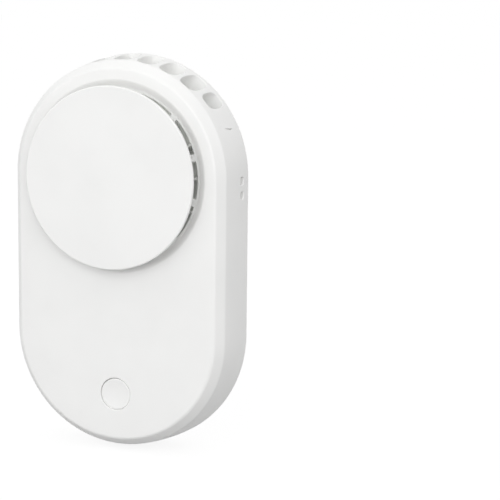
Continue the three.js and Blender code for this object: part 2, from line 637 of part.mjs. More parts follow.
function frontShell() {
  const outline = frontOutline();
  const closed = [...outline, [0, FRONT_Y]];
  const thicknesses = closed.slice(1).map((_, i) => (i === closed.length - 2 ? FACE_WALL : WALL));
  const inside = movedInwards(closed, thicknesses);
  const mouth = [inside[0][0], PARTING_Y + OVERLAP];
  const outerSkin = loft(outline);
  const ductSpan = [-degrees(DUCT_HALF_ANGLE), degrees(DUCT_HALF_ANGLE)];
  const featureFrontY = FACE_INSIDE_Y - OVERLAP;
  const ductSector = sector(SCROLL_RADIUS, BODY_WIDTH / 2, ...ductSpan);
  const duct = plate(ductSector, CHAMBER_JOINT_Y, featureFrontY, DUCT_STEPS);
  const scroll = plate(scrollShape(), CHAMBER_JOINT_Y, featureFrontY);
  const guideRadius = FLANGE_RADIUS + FIT_GAP;
  const guide = cut(
    rod(guideRadius + GUIDE_WALL, FACE_INSIDE_Y + GUIDE_HEIGHT, featureFrontY, 0, BUTTON_Z, MIDDLE_SEGMENTS),
    rod(guideRadius, FACE_INSIDE_Y + GUIDE_HEIGHT + OVERLAP, FACE_INSIDE_Y, 0, BUTTON_Z, MIDDLE_SEGMENTS),
  );
  const caseBosses = CASE_BOSSES.map(([x, z]) => (
    rod(CASE_BOSS_RADIUS, CASE_BOSS_REAR_Y, featureFrontY, x, z)
  ));
  const boardBossRear = BOARD_FRONT_Y - SEAT_GAP;
  const boardBosses = [-1, 1].map((side) => (
    rod(BOARD_BOSS_RADIUS, boardBossRear, featureFrontY, side * BOARD_BOSS_X, BOARD_BOSS_Z)
  ));
  const railX = BATTERY_WIDTH / 2 + RAIL_GAP;
  const railZ = [BATTERY_Z - RAIL_LENGTH / 2, BATTERY_Z + RAIL_LENGTH / 2];
  const rails = [-1, 1].map((side) => {
    const edges = [side * railX, side * (railX + RAIL_WALL)].sort((a, b) => a - b);
    return block(...edges, featureFrontY, FACE_INSIDE_Y + RAIL_HEIGHT, ...railZ);
  });
  const features = join(dishBacking(), duct, scroll, guide, ...caseBosses, ...boardBosses, ...rails);
  const shell = join(cut(outerSkin, loft([mouth, ...inside])), features.intersect(outerSkin));
  const caseScrewEnd = CASE_HEAD_FRONT_Y - CASE_SCREW_LENGTH - PILOT_EXTRA;
  const casePilots = CASE_BOSSES.map(([x, z]) => (
    rod(PILOT_RADIUS, CASE_BOSS_REAR_Y + OVERLAP, caseScrewEnd, x, z)
  ));
  const boardScrewEnd = BOARD_REAR_Y + SEAT_GAP - BOARD_SCREW_LENGTH - PILOT_EXTRA;
  const boardPilots = [-1, 1].map((side) => (
    rod(PILOT_RADIUS, boardBossRear + OVERLAP, boardScrewEnd, side * BOARD_BOSS_X, BOARD_BOSS_Z)
  ));
  const stakeHoles = stakePlaces().map(([x, z]) => (
    rod(STAKE_RADIUS + FIT_GAP, DISH_BACK_Y + OVERLAP, DISH_FLOOR_Y - OVERLAP, x, z)
  ));
  const buttonHole = rod(
    BUTTON_RADIUS + BUTTON_GAP, FACE_INSIDE_Y + OVERLAP, FRONT_Y - OVERLAP, 0, BUTTON_Z, MIDDLE_SEGMENTS,
  );
  return cut(
    shell, dishTool(), ...windowTools(), ...ventTools(), ...blindVentTools(), ...eyeletTools(), portTool(),
    buttonHole, ...casePilots, ...boardPilots, ...stakeHoles,
  );
}

function motorScrewPlaces() {
  return around(MOTOR_SCREW_COUNT).map((angle) => onBlowerCircle(MOTOR_SCREW_CIRCLE, angle));
}

function rearCover() {
  const outline = rearOutline();
  const closed = [[0, 0], ...outline];
  const inside = movedInwards(closed, closed.slice(1).map(() => WALL));
  const tray = cut(loft(outline), loft([...inside.slice(1), inwardEnd(outline)]));
  const lipOuter = BODY_WIDTH / 2 - WALL - LIP_CLEARANCE;
  const lipFrontY = PARTING_Y - LIP_HEIGHT;
  const lip = cut(
    plate(stadium(lipOuter), REAR_FLOOR_Y - OVERLAP, lipFrontY, LIP_SEGMENTS),
    plate(stadium(lipOuter - LIP_WALL), 0, lipFrontY - OVERLAP, LIP_SEGMENTS),
  );
  const buried = REAR_FLOOR_Y + OVERLAP;
  const ribFrontY = CHAMBER_JOINT_Y + SEAT_GAP;
  const insideLip = plate(stadium(lipOuter), buried, ribFrontY, LIP_SEGMENTS);
  const scrollRib = plate(scrollShape(), buried, ribFrontY).intersect(insideLip);
  const leadRoom = MOTOR_LEAD_X + LEAD_RADIUS + LEAD_SLOT;
  const leadNotch = block(
    -leadRoom, leadRoom, CHAMBER_JOINT_Y, REAR_FLOOR_Y,
    ARC_Z - SCROLL_RADIUS - SCROLL_GROWTH - SCROLL_WALL - OVERLAP, ARC_Z - IMPELLER_RADIUS,
  );
  const motorBosses = motorScrewPlaces().map(([x, z]) => (
    rod(MOTOR_BOSS_RADIUS, buried, REAR_FLOOR_Y - MOTOR_BOSS_HEIGHT, x, z)
  ));
  const casePads = CASE_BOSSES.map(([x, z]) => rod(CASE_PAD_RADIUS, buried, CASE_PAD_FRONT_Y, x, z));
  const motorScrewEnd = MOTOR_SCREW_SEAT_Y + MOTOR_SCREW_LENGTH + FIT_GAP;
  const motorPilots = motorScrewPlaces().map(([x, z]) => (
    rod(PILOT_RADIUS, motorScrewEnd, REAR_FLOOR_Y - MOTOR_BOSS_HEIGHT - OVERLAP, x, z)
  ));
  const headRoom = SCREW_HEAD_RADIUS + SCREW_HOLE_CLEARANCE;
  const caseHoles = CASE_BOSSES.flatMap(([x, z]) => [
    rod(headRoom, OVERLAP, CASE_HEAD_FRONT_Y - SEAT_GAP, x, z),
    rod(PILOT_RADIUS, OVERLAP, CASE_PAD_FRONT_Y - OVERLAP, x, z),
  ]);
  const built = join(tray, lip, cut(scrollRib, leadNotch), ...motorBosses, ...casePads);
  return cut(built, ...motorPilots, ...caseHoles);
}

// The rear tray's hollow runs straight out through its rim
function inwardEnd(outline) {
  const [rim, rimY] = outline[outline.length - 1];
  return [rim - WALL, rimY - WALL];
}

function intakeDisc() {
  const rearY = DISC_FRONT_Y + DISC_THICKNESS;
  const edgeY = DISC_FRONT_Y + DISC_EDGE;
  const plateBody = turned([
    [0, DISC_FRONT_Y], [DISC_RADIUS - DISC_EDGE_ROUND, DISC_FRONT_Y],
    [DISC_RADIUS, DISC_FRONT_Y + DISC_EDGE_ROUND], [DISC_RADIUS, edgeY],
    [DISC_RADIUS - DISC_CHAMFER, rearY], [0, rearY],
  ]);
  const seatY = DISH_FLOOR_Y - SEAT_GAP;
  const skirt = ring(SKIRT_RADIUS - SKIRT_WALL, SKIRT_RADIUS, seatY, rearY - OVERLAP);
  const stakes = stakePlaces().map(([x, z]) => (
    rod(STAKE_RADIUS, STAKE_END_Y, rearY - OVERLAP, x, z)
  ));
  return join(plateBody, skirt, ...stakes);
}

function powerButton() {
  const frontY = FRONT_Y + BUTTON_RECESS;
  const stemEndY = PLUNGER_FRONT_Y - PLUNGER_GAP;
  const hollow = [];
  for (let i = 0; i <= CURVE_STEPS; i += 1) {
    const share = i / CURVE_STEPS;
    hollow.push([(BUTTON_RADIUS - BUTTON_RIM) * share, frontY + BUTTON_DISH * (1 - share * share)]);
  }
  const profile = [
    ...hollow, [BUTTON_RADIUS, frontY], [BUTTON_RADIUS, FLANGE_FRONT_Y], [FLANGE_RADIUS, FLANGE_FRONT_Y],
    [FLANGE_RADIUS, FLANGE_REAR_Y], [BUTTON_STEM_RADIUS, FLANGE_REAR_Y], [BUTTON_STEM_RADIUS, stemEndY],
    [0, stemEndY],
  ];
  return turned(profile, MIDDLE_SEGMENTS).translate([0, 0, BUTTON_Z - ARC_Z]);
}

// Blower and motor

function bladeShape(angle) {
  const root = HUB_RADIUS - OVERLAP;
  const points = [];
  for (const side of [1, -1]) {
    for (let i = 0; i <= CURVE_STEPS; i += 1) {
      const share = (side > 0 ? i : CURVE_STEPS - i) / CURVE_STEPS;
      const radius = THREE.MathUtils.lerp(root, IMPELLER_RADIUS, share);
      const bend = degrees(BLADE_SWEEP) * (1 - share) * (1 - share);
      const half = Math.asin(BLADE_THICKNESS / 2 / radius);
      points.push(polar(radius, angle + bend + side * half).add(new THREE.Vector2(0, ARC_Z)));
    }
  }
  return new THREE.Shape(points);
}

function impeller() {
  const capFrontY = HUB_CAP_REAR_Y - HUB_CAP;
  const hub = turned([
    [0, capFrontY], [HUB_RADIUS, capFrontY], [HUB_RADIUS, BACK_PLATE_FRONT_Y],
    [IMPELLER_RADIUS, BACK_PLATE_FRONT_Y], [IMPELLER_RADIUS, BACK_PLATE_REAR_Y],
    [HUB_INNER_RADIUS, BACK_PLATE_REAR_Y], [HUB_INNER_RADIUS, HUB_CAP_REAR_Y], [0, HUB_CAP_REAR_Y],
  ]);
  const firstBlade = Math.PI / 2 - degrees(BLADE_PHASE);
  const blades = around(BLADE_COUNT, firstBlade).map((angle) => (
    plate(bladeShape(angle), BACK_PLATE_FRONT_Y + OVERLAP, BLADE_FRONT_Y)
  ));
  return join(hub, ...blades);
}

function rotorCup() {
  const bore = SHAFT_RADIUS + SEAT_GAP;
  return turned([
    [bore, CUP_FRONT_Y], [CUP_RADIUS, CUP_FRONT_Y], [CUP_RADIUS, MAGNET_REAR_Y],
    [CUP_INNER_RADIUS, MAGNET_REAR_Y], [CUP_INNER_RADIUS, CUP_INSIDE_Y], [bore, CUP_INSIDE_Y],
  ], MIDDLE_SEGMENTS);
}

function magnetRing() {
  const frontY = MAGNET_REAR_Y - MAGNET_HEIGHT;
  return ring(MAGNET_INNER_RADIUS, MAGNET_RADIUS, MAGNET_REAR_Y, frontY, MIDDLE_SEGMENTS);
}

function clipRearY() {
  return MOTOR_BASE_REAR_Y + SEAT_GAP + CLIP_THICKNESS;
}

function motorShaft() {
  return rod(SHAFT_RADIUS, clipRearY() + FIT_GAP, CUP_FRONT_Y, 0, ARC_Z);
}

function shaftClip() {
  const rearY = clipRearY();
  return ring(SHAFT_RADIUS + SEAT_GAP, CLIP_RADIUS, rearY, rearY - CLIP_THICKNESS, ROUND_SEGMENTS);
}

function sleeveBearing() {
  const rearY = MOTOR_BASE_REAR_Y - SEAT_GAP;
  const frontY = CUP_INSIDE_Y + FIT_GAP;
  return ring(SHAFT_RADIUS + SEAT_GAP, BEARING_RADIUS, rearY, frontY, ROUND_SEGMENTS);
}

function motorBase() {
  const tubeFrontY = CUP_INSIDE_Y + FIT_GAP;
  const flange = turned([
    [TUBE_INNER_RADIUS, MOTOR_BASE_REAR_Y], [MOTOR_BASE_RADIUS, MOTOR_BASE_REAR_Y],
    [MOTOR_BASE_RADIUS, MOTOR_BASE_FRONT_Y], [TUBE_RADIUS, MOTOR_BASE_FRONT_Y], [TUBE_RADIUS, tubeFrontY],
    [TUBE_INNER_RADIUS, tubeFrontY],
  ], MIDDLE_SEGMENTS);
  const holes = motorScrewPlaces().map(([x, z]) => (
    rod(PILOT_RADIUS, MOTOR_BASE_REAR_Y + OVERLAP, MOTOR_BASE_FRONT_Y - OVERLAP, x, z)
  ));
  return cut(flange, ...holes);
}

function motorBoard() {
  const bore = TUBE_RADIUS + SEAT_GAP;
  return ring(bore, MOTOR_BOARD_RADIUS, MOTOR_BOARD_REAR_Y, MOTOR_BOARD_FRONT_Y, MIDDLE_SEGMENTS);
}

function hallSensor() {
  const [width, height, length] = HALL_SENSOR;
  const rearY = MOTOR_BOARD_FRONT_Y - SEAT_GAP;
  const radius = STATOR_RADIUS - length / 2;
  const shape = roundedRectangle(width, length, PART_CORNER / 2, 0, ARC_Z + radius);
  return plate(shape, rearY, rearY - height, 1);
}

function poleAngles() {
  return around(STATOR_POLES, Math.PI / STATOR_POLES);
}

function statorCore() {
  const bore = TUBE_RADIUS + SEAT_GAP;
  const hub = ring(bore, bore + STATOR_HUB_WALL, STATOR_REAR_Y, STATOR_FRONT_Y, MIDDLE_SEGMENTS);
  const shoeInner = STATOR_RADIUS - SHOE_THICKNESS;
  const poles = poleAngles().flatMap((angle) => {
    const tooth = block(
      -TOOTH_WIDTH / 2, TOOTH_WIDTH / 2, STATOR_FRONT_Y, STATOR_REAR_Y, bore + OVERLAP, shoeInner + OVERLAP,
    ).rotate([0, THREE.MathUtils.radToDeg(angle), 0]).translate([0, 0, ARC_Z]);
    const span = degrees(SHOE_SPAN) / 2;
    const shoeShape = sector(shoeInner, STATOR_RADIUS, angle - span, angle + span);
    const shoe = plate(shoeShape, STATOR_REAR_Y, STATOR_FRONT_Y, CORNER_STEPS);
    return [tooth, shoe];
  });
  return join(hub, ...poles);
}

function statorCoil(angle) {
  const innerAcross = TOOTH_WIDTH + 2 * FIT_GAP;
  const innerAlong = STATOR_HEIGHT + 2 * FIT_GAP;
  const across = innerAcross + 2 * COIL_WALL;
  const along = innerAlong + 2 * COIL_WALL;
  const shape = roundedRectangle(across, along, COIL_WALL);
  const window = roundedRectangle(innerAcross, innerAlong, COIL_WINDOW_CORNER);
  shape.holes.push(window);
  const hubRadius = TUBE_RADIUS + SEAT_GAP + STATOR_HUB_WALL;
  const shoeInner = STATOR_RADIUS - SHOE_THICKNESS;
  return radialTool(shape, hubRadius + FIT_GAP, shoeInner - FIT_GAP, angle, STATOR_MIDDLE_Y, 1);
}

// Screws point along Y: headSide is +1 where the head looks to the back, -1 where it looks forwards
function screw(x, z, headSeatY, length, headSide) {
  const headEndY = headSeatY + headSide * SCREW_HEAD_HEIGHT;
  const shankEndY = headSeatY - headSide * length;
  const span = (a, b) => [Math.max(a, b), Math.min(a, b)];
  const head = rod(SCREW_HEAD_RADIUS, ...span(headSeatY, headEndY), x, z);
  const shankSpan = span(shankEndY, headSeatY + headSide * SCREW_SLOT_DEPTH);
  const shank = rod(SCREW_RADIUS, ...shankSpan, x, z, WIRE_SEGMENTS);
  const [slotHigh, slotLow] = span(headEndY + headSide * OVERLAP, headEndY - headSide * SCREW_SLOT_DEPTH);
  const reach = SCREW_SLOT_LENGTH / 2;
  const half = SCREW_SLOT_WIDTH / 2;
  const driveSlots = [
    block(x - reach, x + reach, slotLow, slotHigh, z - half, z + half),
    block(x - half, x + half, slotLow, slotHigh, z - reach, z + reach),
  ];
  return cut(join(head, shank), ...driveSlots);
}

// Control board and its parts

function controlBoard() {
  const half = BOARD_HALF_WIDTH;
  const radius = sideHalfWidth(BOARD_FRONT_Y) - WALL - BOARD_EDGE_GAP;
  const corner = Math.acos(half / radius);
  const shape = new THREE.Shape();
  shape.moveTo(half, BOARD_TOP_Z);
  shape.lineTo(-half, BOARD_TOP_Z);
  shape.absarc(0, -ARC_Z, radius, Math.PI + corner, 2 * Math.PI - corner);
  const board = plate(shape, BOARD_REAR_Y, BOARD_FRONT_Y);
  const holes = [-1, 1].map((side) => (
    rod(PILOT_RADIUS, BOARD_REAR_Y + OVERLAP, BOARD_FRONT_Y - OVERLAP, side * BOARD_BOSS_X, BOARD_BOSS_Z)
  ));
  return cut(board, ...holes);
}

function boardPart([width, depth, height], side) {
  const x = side * CHIP_FROM_MIDDLE;
  const z = BOARD_TOP_Z - CHIP_BELOW_TOP;
  const frontY = BOARD_REAR_Y + SEAT_GAP;
  return plate(roundedRectangle(width, height, PART_CORNER, x, z), frontY + depth, frontY, 1);
}

function switchBody() {
  const half = SWITCH_SIZE / 2;
  const rearY = BOARD_FRONT_Y - SEAT_GAP;
  const wellRearY = SWITCH_FRONT_Y + PLUNGER_SUNK + PLUNGER_TRAVEL_ROOM;
  const well = rod(PLUNGER_RADIUS + FIT_GAP, wellRearY, SWITCH_FRONT_Y - OVERLAP, 0, BUTTON_Z);
  return cut(block(-half, half, SWITCH_FRONT_Y, rearY, BUTTON_Z - half, BUTTON_Z + half), well);
}

function switchPlunger() {
  return rod(PLUNGER_RADIUS, SWITCH_FRONT_Y + PLUNGER_SUNK, PLUNGER_FRONT_Y, 0, BUTTON_Z);
}

function upward(shape, fromZ, toZ) {
  const options = { depth: toZ - fromZ, bevelEnabled: false, curveSegments: CORNER_STEPS };
  const geometry = new THREE.ExtrudeGeometry(shape, options);
  geometry.translate(0, 0, fromZ);
  return solid(geometry);
}

function usbShell() {
  const shape = roundedRectangle(USB_WIDTH, USB_HEIGHT, USB_CORNER, 0, USB_Y);
  const hollow = roundedRectangle(
    USB_WIDTH - 2 * USB_WALL, USB_HEIGHT - 2 * USB_WALL, USB_CORNER - USB_WALL, 0, USB_Y,
  );
  shape.holes.push(hollow);
  return upward(shape, USB_MOUTH_Z, USB_MOUTH_Z + USB_LENGTH);
}

function usbTongue() {
  const room = USB_WALL + SEAT_GAP;
  const blockShape = roundedRectangle(
    USB_WIDTH - 2 * room, USB_HEIGHT - 2 * room, USB_CORNER - room, 0, USB_Y,
  );
  const tongueShape = roundedRectangle(USB_TONGUE_WIDTH, USB_TONGUE_THICKNESS, USB_TONGUE_CORNER, 0, USB_Y);
  const topZ = USB_MOUTH_Z + USB_LENGTH;
  const blockZ = topZ - USB_BLOCK_LENGTH;
  return join(
    upward(blockShape, blockZ, topZ),
    upward(tongueShape, blockZ - USB_TONGUE_LENGTH, blockZ + OVERLAP),
  );
}

// Battery and leads

function batteryCell() {
  const middleY = (BATTERY_FRONT_Y + BATTERY_REAR_Y) / 2;
  const shape = roundedRectangle(BATTERY_WIDTH, BATTERY_DEPTH, BATTERY_CORNER, 0, middleY);
  return upward(shape, BATTERY_BOTTOM_Z, BATTERY_TOP_Z);
}

function batteryPad() {
  const shape = roundedRectangle(
    BATTERY_WIDTH - 2 * PAD_INSET, BATTERY_HEIGHT - PAD_INSET, PART_CORNER, 0, BATTERY_Z,
  );
  return plate(shape, BATTERY_FRONT_Y - SEAT_GAP, FACE_INSIDE_Y + SEAT_GAP, 1);
}

function lead(points, steps) {
  const path = new THREE.CatmullRomCurve3(points.map((point) => new THREE.Vector3(...point)));
  const section = new THREE.Shape(around(WIRE_SEGMENTS).map((angle) => polar(LEAD_RADIUS, angle)));
  return solid(new THREE.ExtrudeGeometry(section, { steps, extrudePath: path, bevelEnabled: false }));
}

function boardLandingY() {
  return BOARD_REAR_Y + FIT_GAP + LEAD_RADIUS;
}

function batteryLead(side) {
  const x = side * BATTERY_LEAD_X;
  const y = boardLandingY();
  const startZ = BATTERY_BOTTOM_Z - SEAT_GAP;
  const endZ = BOARD_TOP_Z - LEAD_LANDING;
  return lead([[x, y, startZ], [x, y, (startZ + endZ) / 2], [x, y, endZ]], SHORT_LEAD_STEPS);
}

// From the motor board, under the impeller, out through the notch, behind the battery, to the control board
function motorLead(side) {
  const x = side * MOTOR_LEAD_X;
  const overBaseY = MOTOR_BASE_FRONT_Y - SEAT_GAP - LEAD_RADIUS;
  const behindY = (BATTERY_REAR_Y + REAR_FLOOR_Y) / 2;
  const boardZ = ARC_Z - MOTOR_BOARD_RADIUS - SEAT_GAP;
  const baseZ = ARC_Z - MOTOR_BASE_RADIUS;
  const landingY = boardLandingY();
  return lead([
    [x, overBaseY, boardZ],
    [x, overBaseY, baseZ],
    [x, behindY, baseZ - LEAD_DROP],
    [x, behindY, ARC_Z - SCROLL_RADIUS],
    [x, behindY, BATTERY_Z],
    [x, behindY, BATTERY_BOTTOM_Z - 2 * LEAD_RADIUS],
    [x, landingY, BOARD_TOP_Z - LEAD_LANDING],
    [x, landingY, BOARD_TOP_Z - 2 * LEAD_LANDING],
  ], LONG_LEAD_STEPS);
}

// Finishes
const WHITE_ABS = { color: 0xf2f2f1, roughness: 0.48, metalness: 0 };
const NATURAL_PC = { color: 0xe9eae8, roughness: 0.4, metalness: 0 };
const BLACK_NYLON = { color: 0x1c1c1e, roughness: 0.6, metalness: 0 };
const STEEL = { color: 0xb9bcbf, roughness: 0.32, metalness: 1 };
const LAMINATION = { color: 0x6f7376, roughness: 0.45, metalness: 1 };
const FERRITE = { color: 0x3a3a3c, roughness: 0.7, metalness: 0 };
const COPPER = { color: 0xb4622e, roughness: 0.35, metalness: 1 };
const BRONZE = { color: 0x9c7a4a, roughness: 0.5, metalness: 1 };
const BOARD_GREEN = { color: 0x1f5a3c, roughness: 0.45, metalness: 0 };
const FOIL = { color: 0xc4c7ca, roughness: 0.35, metalness: 1 };
const FOAM = { color: 0x2b2b2d, roughness: 0.95, metalness: 0 };
const RED_SLEEVE = { color: 0xb3201d, roughness: 0.5, metalness: 0 };
const BLACK_SLEEVE = { color: 0x18181a, roughness: 0.5, metalness: 0 };

const fan = new THREE.Group();

function piece(name, body, finish) {
  const mesh = new THREE.Mesh(geometryOf(body), new THREE.MeshStandardMaterial(finish));
  mesh.name = name;
  fan.add(mesh);
}

piece('front_shell', frontShell(), WHITE_ABS);
piece('rear_cover', rearCover(), WHITE_ABS);
piece('intake_disc', intakeDisc(), WHITE_ABS);
piece('power_button', powerButton(), WHITE_ABS);

piece('impeller', impeller(), NATURAL_PC);
piece('rotor_cup', rotorCup(), STEEL);
piece('magnet_ring', magnetRing(), FERRITE);
piece('motor_shaft', motorShaft(), STEEL);
piece('shaft_clip', shaftClip(), STEEL);
piece('sleeve_bearing', sleeveBearing(), BRONZE);
piece('motor_base', motorBase(), BLACK_NYLON);
piece('motor_board', motorBoard(), BOARD_GREEN);
piece('hall_sensor', hallSensor(), BLACK_NYLON);
piece('stator_core', statorCore(), LAMINATION);
poleAngles().forEach((angle, i) => piece(`stator_coil_${i + 1}`, statorCoil(angle), COPPER));
motorScrewPlaces().forEach(([x, z], i) => {
  piece(`motor_screw_${i + 1}`, screw(x, z, MOTOR_SCREW_SEAT_Y, MOTOR_SCREW_LENGTH, -1), STEEL);
});

piece('control_board', controlBoard(), BOARD_GREEN);
piece('switch_body', switchBody(), BLACK_NYLON);
piece('switch_plunger', switchPlunger(), BLACK_NYLON);
piece('usb_shell', usbShell(), STEEL);
piece('usb_tongue', usbTongue(), BLACK_NYLON);
piece('charge_chip', boardPart(CHIP_SIZE, -1), BLACK_NYLON);
piece('inductor', boardPart(INDUCTOR_SIZE, 1), FERRITE);
[-1, 1].forEach((side, i) => {
  const body = screw(side * BOARD_BOSS_X, BOARD_BOSS_Z, BOARD_REAR_Y + SEAT_GAP, BOARD_SCREW_LENGTH, 1);
  piece(`board_screw_${i + 1}`, body, STEEL);
});

piece('battery_cell', batteryCell(), FOIL);
piece('battery_pad', batteryPad(), FOAM);
piece('battery_lead_red', batteryLead(1), RED_SLEEVE);
piece('battery_lead_black', batteryLead(-1), BLACK_SLEEVE);
piece('motor_lead_red', motorLead(1), RED_SLEEVE);
piece('motor_lead_black', motorLead(-1), BLACK_SLEEVE);

CASE_BOSSES.forEach(([x, z], i) => {
  piece(`case_screw_${i + 1}`, screw(x, z, CASE_HEAD_FRONT_Y, CASE_SCREW_LENGTH, 1), STEEL);
});

export default fan;
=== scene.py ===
# Palm-sized eyelash fan. The housing, disc, button, blower wheel, screws, charging socket, cell and
# leads are made here in their finished shapes, and the other inner pieces take their finishes.
# Shapes are drawn in millimetres, and each piece becomes metres when it is finished.

import json
import math

import bmesh
import bpy
from mathutils import Matrix, Vector


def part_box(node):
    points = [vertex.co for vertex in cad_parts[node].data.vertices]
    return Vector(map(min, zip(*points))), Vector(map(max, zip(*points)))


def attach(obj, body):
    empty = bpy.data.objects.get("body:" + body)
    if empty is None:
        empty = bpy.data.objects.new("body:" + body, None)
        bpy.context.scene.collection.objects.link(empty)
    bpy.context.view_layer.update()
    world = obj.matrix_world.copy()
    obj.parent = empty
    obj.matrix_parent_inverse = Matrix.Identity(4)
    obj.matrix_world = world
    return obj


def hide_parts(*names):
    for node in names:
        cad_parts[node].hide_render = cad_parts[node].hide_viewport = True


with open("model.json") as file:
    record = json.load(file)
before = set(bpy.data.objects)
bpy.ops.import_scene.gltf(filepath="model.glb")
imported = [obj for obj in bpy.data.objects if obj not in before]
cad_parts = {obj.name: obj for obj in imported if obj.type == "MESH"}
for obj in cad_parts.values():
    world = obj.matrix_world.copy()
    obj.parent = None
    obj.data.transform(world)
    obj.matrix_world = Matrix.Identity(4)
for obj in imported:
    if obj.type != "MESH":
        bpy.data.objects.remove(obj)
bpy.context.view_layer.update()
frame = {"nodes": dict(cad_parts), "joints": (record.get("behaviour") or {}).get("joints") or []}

MM = 0.001


def solid_box(node):
    """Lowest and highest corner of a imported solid, in millimetres."""
    low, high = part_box(node)
    return low / MM, high / MM


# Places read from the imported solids
SPIN = next(joint for joint in frame["joints"] if joint["name"] == "impeller_spin")
AXIS_Z = SPIN["pos_m"][2] / MM  # the blower's axis, which is also the middle of the top end
BLOWER = (0, 0, AXIS_Z)
SHELL_LOW, SHELL_HIGH = solid_box("front_shell")
HALF_WIDTH = SHELL_HIGH.x
FRONT_Y = SHELL_LOW.y
DISC_FRONT_Y = solid_box("intake_disc")[0].y
BUTTON_LOW, BUTTON_HIGH = solid_box("power_button")
BUTTON_Z = (BUTTON_LOW.z + BUTTON_HIGH.z) / 2
CELL_LOW, CELL_HIGH = solid_box("battery_cell")
CELL_SIZE = CELL_HIGH - CELL_LOW
CELL_MIDDLE = (CELL_LOW + CELL_HIGH) / 2
PAD_LOW, PAD_HIGH = solid_box("battery_pad")
PAD_SIZE = PAD_HIGH - PAD_LOW
SOCKET_LOW, SOCKET_HIGH = solid_box("usb_shell")
SOCKET_SIZE = SOCKET_HIGH - SOCKET_LOW
SOCKET_Y = (SOCKET_LOW.y + SOCKET_HIGH.y) / 2
BOARD_LOW, BOARD_HIGH = solid_box("control_board")
WHEEL_LOW, WHEEL_HIGH = solid_box("impeller")

# Fits and edges of all the pieces
SEAT_GAP = 0.1  # between pieces that rest on each other
FIT_GAP = 0.3  # round pieces that fit into each other
OVERLAP = 0.4  # how far shapes that are joined or cut run into each other
OVERRUN = 1  # how far a cutter runs out into the open
FINE_ROUND = 0.1
SMALL_ROUND = 0.2

# Housing
PARTING_Y = -3.6
PARTING_GAP = 0.15
SIDE_DRAFT = 1.4  # how far the side leans in towards the front
SIDE_CROWN = 0.25  # how far it swells out past a straight line
BEVEL_INSET = 2.1
BEVEL_DEPTH = 2.6
SIDE_FRONT_Y = FRONT_Y + BEVEL_DEPTH
RIM_ROUND = 0.3  # edge of each half at the parting line
SIDE_ROUND = 1.6  # side into bevel
FACE_ROUND = 1.2  # bevel into front face
REAR_EDGE_INSET = 5.8  # width of the curve round the flat back
WALL = 1.6
REAR_FLOOR_Y = -WALL
FACE_WALL = 1.8
FACE_INSIDE_Y = FRONT_Y + FACE_WALL
INNER_BEND = 0.56  # these two keep the wall's thickness behind the bevel
INNER_FACE_INSET = 0.6
LIP_OUTER = HALF_WIDTH - WALL - FIT_GAP
LIP_WALL = 1.2
LIP_HEIGHT = 0.9
LIP_FRONT_Y = PARTING_Y - LIP_HEIGHT

# Intake
DISC_RADIUS = 24.5
DISC_THICKNESS = 1.4
DISC_EDGE = 0.8  # thickness at the rim
DISC_CHAMFER = 2.2  # width over which the disc thins to its rim
DISC_ROUND = 0.38
DISH_RADIUS = 26.2
DISH_LIP_RADIUS = 23.6  # where the slope of the dish meets its floor
DISH_DEPTH = 1.2
DISH_WALL = 1.6
DISH_FLOOR_Y = FRONT_Y + DISH_DEPTH
DISH_BACK_Y = DISH_FLOOR_Y + DISH_WALL
WINDOW_COUNT = 12
WINDOW_INNER = 14.5
WINDOW_OUTER = 23.35
WINDOW_CORNER = 0.25
WINDOW_EDGE = 0.18
POST_WIDTH = 2  # between two windows
SKIRT_RADIUS = 13  # ring that carries the disc
SKIRT_WALL = 1.2
STAKE_COUNT = 4
STAKE_CIRCLE = 9.6
STAKE_RADIUS = 1.1

# Outlet vents
VENT_COUNT = 9
VENT_PITCH = math.radians(12.4)
VENT_WIDTH = 5.5
VENT_LENGTH = 9.8
VENT_EDGE = 0.2  # rounded edge of each vent
VENT_FULLNESS = 3  # 2 is an ellipse, and more is nearer to a rectangle
VENT_Y = (PARTING_Y + SIDE_FRONT_Y) / 2 - 0.6  # a little in front of the middle of the side
END_VENT_WIDTH = 5  # the last vent of each side is smaller
END_VENT_LENGTH = 7.8
END_VENT_Y = VENT_Y + 1
DUCT_HALF_ANGLE = VENT_PITCH * VENT_COUNT / 2 + math.radians(1.9)
DUCT_WALL_RADIUS = 27.4  # inside of the wall that the vents pass through
NOTCH_ANGLE = math.radians(64.6)  # from straight up to the notch's upper edge
NOTCH_Y = VENT_Y + 0.75
NOTCH_LENGTH = 4.2
NOTCH_WIDTH = 0.5
NOTCH_SLANT = 0.45  # how far its rear end lies below its front end
NOTCH_DEPTH = 0.7

# Blower chamber and wheel
SCROLL_RADIUS = 25.6  # at the cut-off
SCROLL_GROWTH = 2.6  # from there to the other end
SCROLL_WALL = 1.2
SCROLL_OVERLAP = math.radians(3)  # how far the spiral wall runs into the duct
CHAMBER_JOINT_Y = PARTING_Y - 1.2  # where the walls of the two halves meet
WHEEL_RADIUS = 24.5
BLADE_COUNT = 15
BLADE_THICKNESS = 0.75
BLADE_EDGE = 0.15
BLADE_SWEEP = math.radians(16)
FIRST_BLADE = math.radians(89)
PLATE_REAR_Y = WHEEL_HIGH.y
PLATE_THICKNESS = 1
PLATE_FRONT_Y = PLATE_REAR_Y - PLATE_THICKNESS
PLATE_ROUND = 0.3
BLADE_FRONT_Y = WHEEL_LOW.y
HUB_RADIUS = 10.8
HUB_INNER = 9.6
HUB_FRONT_Y = -12.4
HUB_CAP = 1
HUB_CAP_REAR_Y = HUB_FRONT_Y + HUB_CAP
HUB_ROUND = 0.8  # edge of the cap
HUB_FILLET = 0.6  # hub into back plate
MOTOR_BASE_RADIUS = 15
MOTOR_BASE_FRONT_Y = -4.1
MOTOR_BOARD_RADIUS = 8

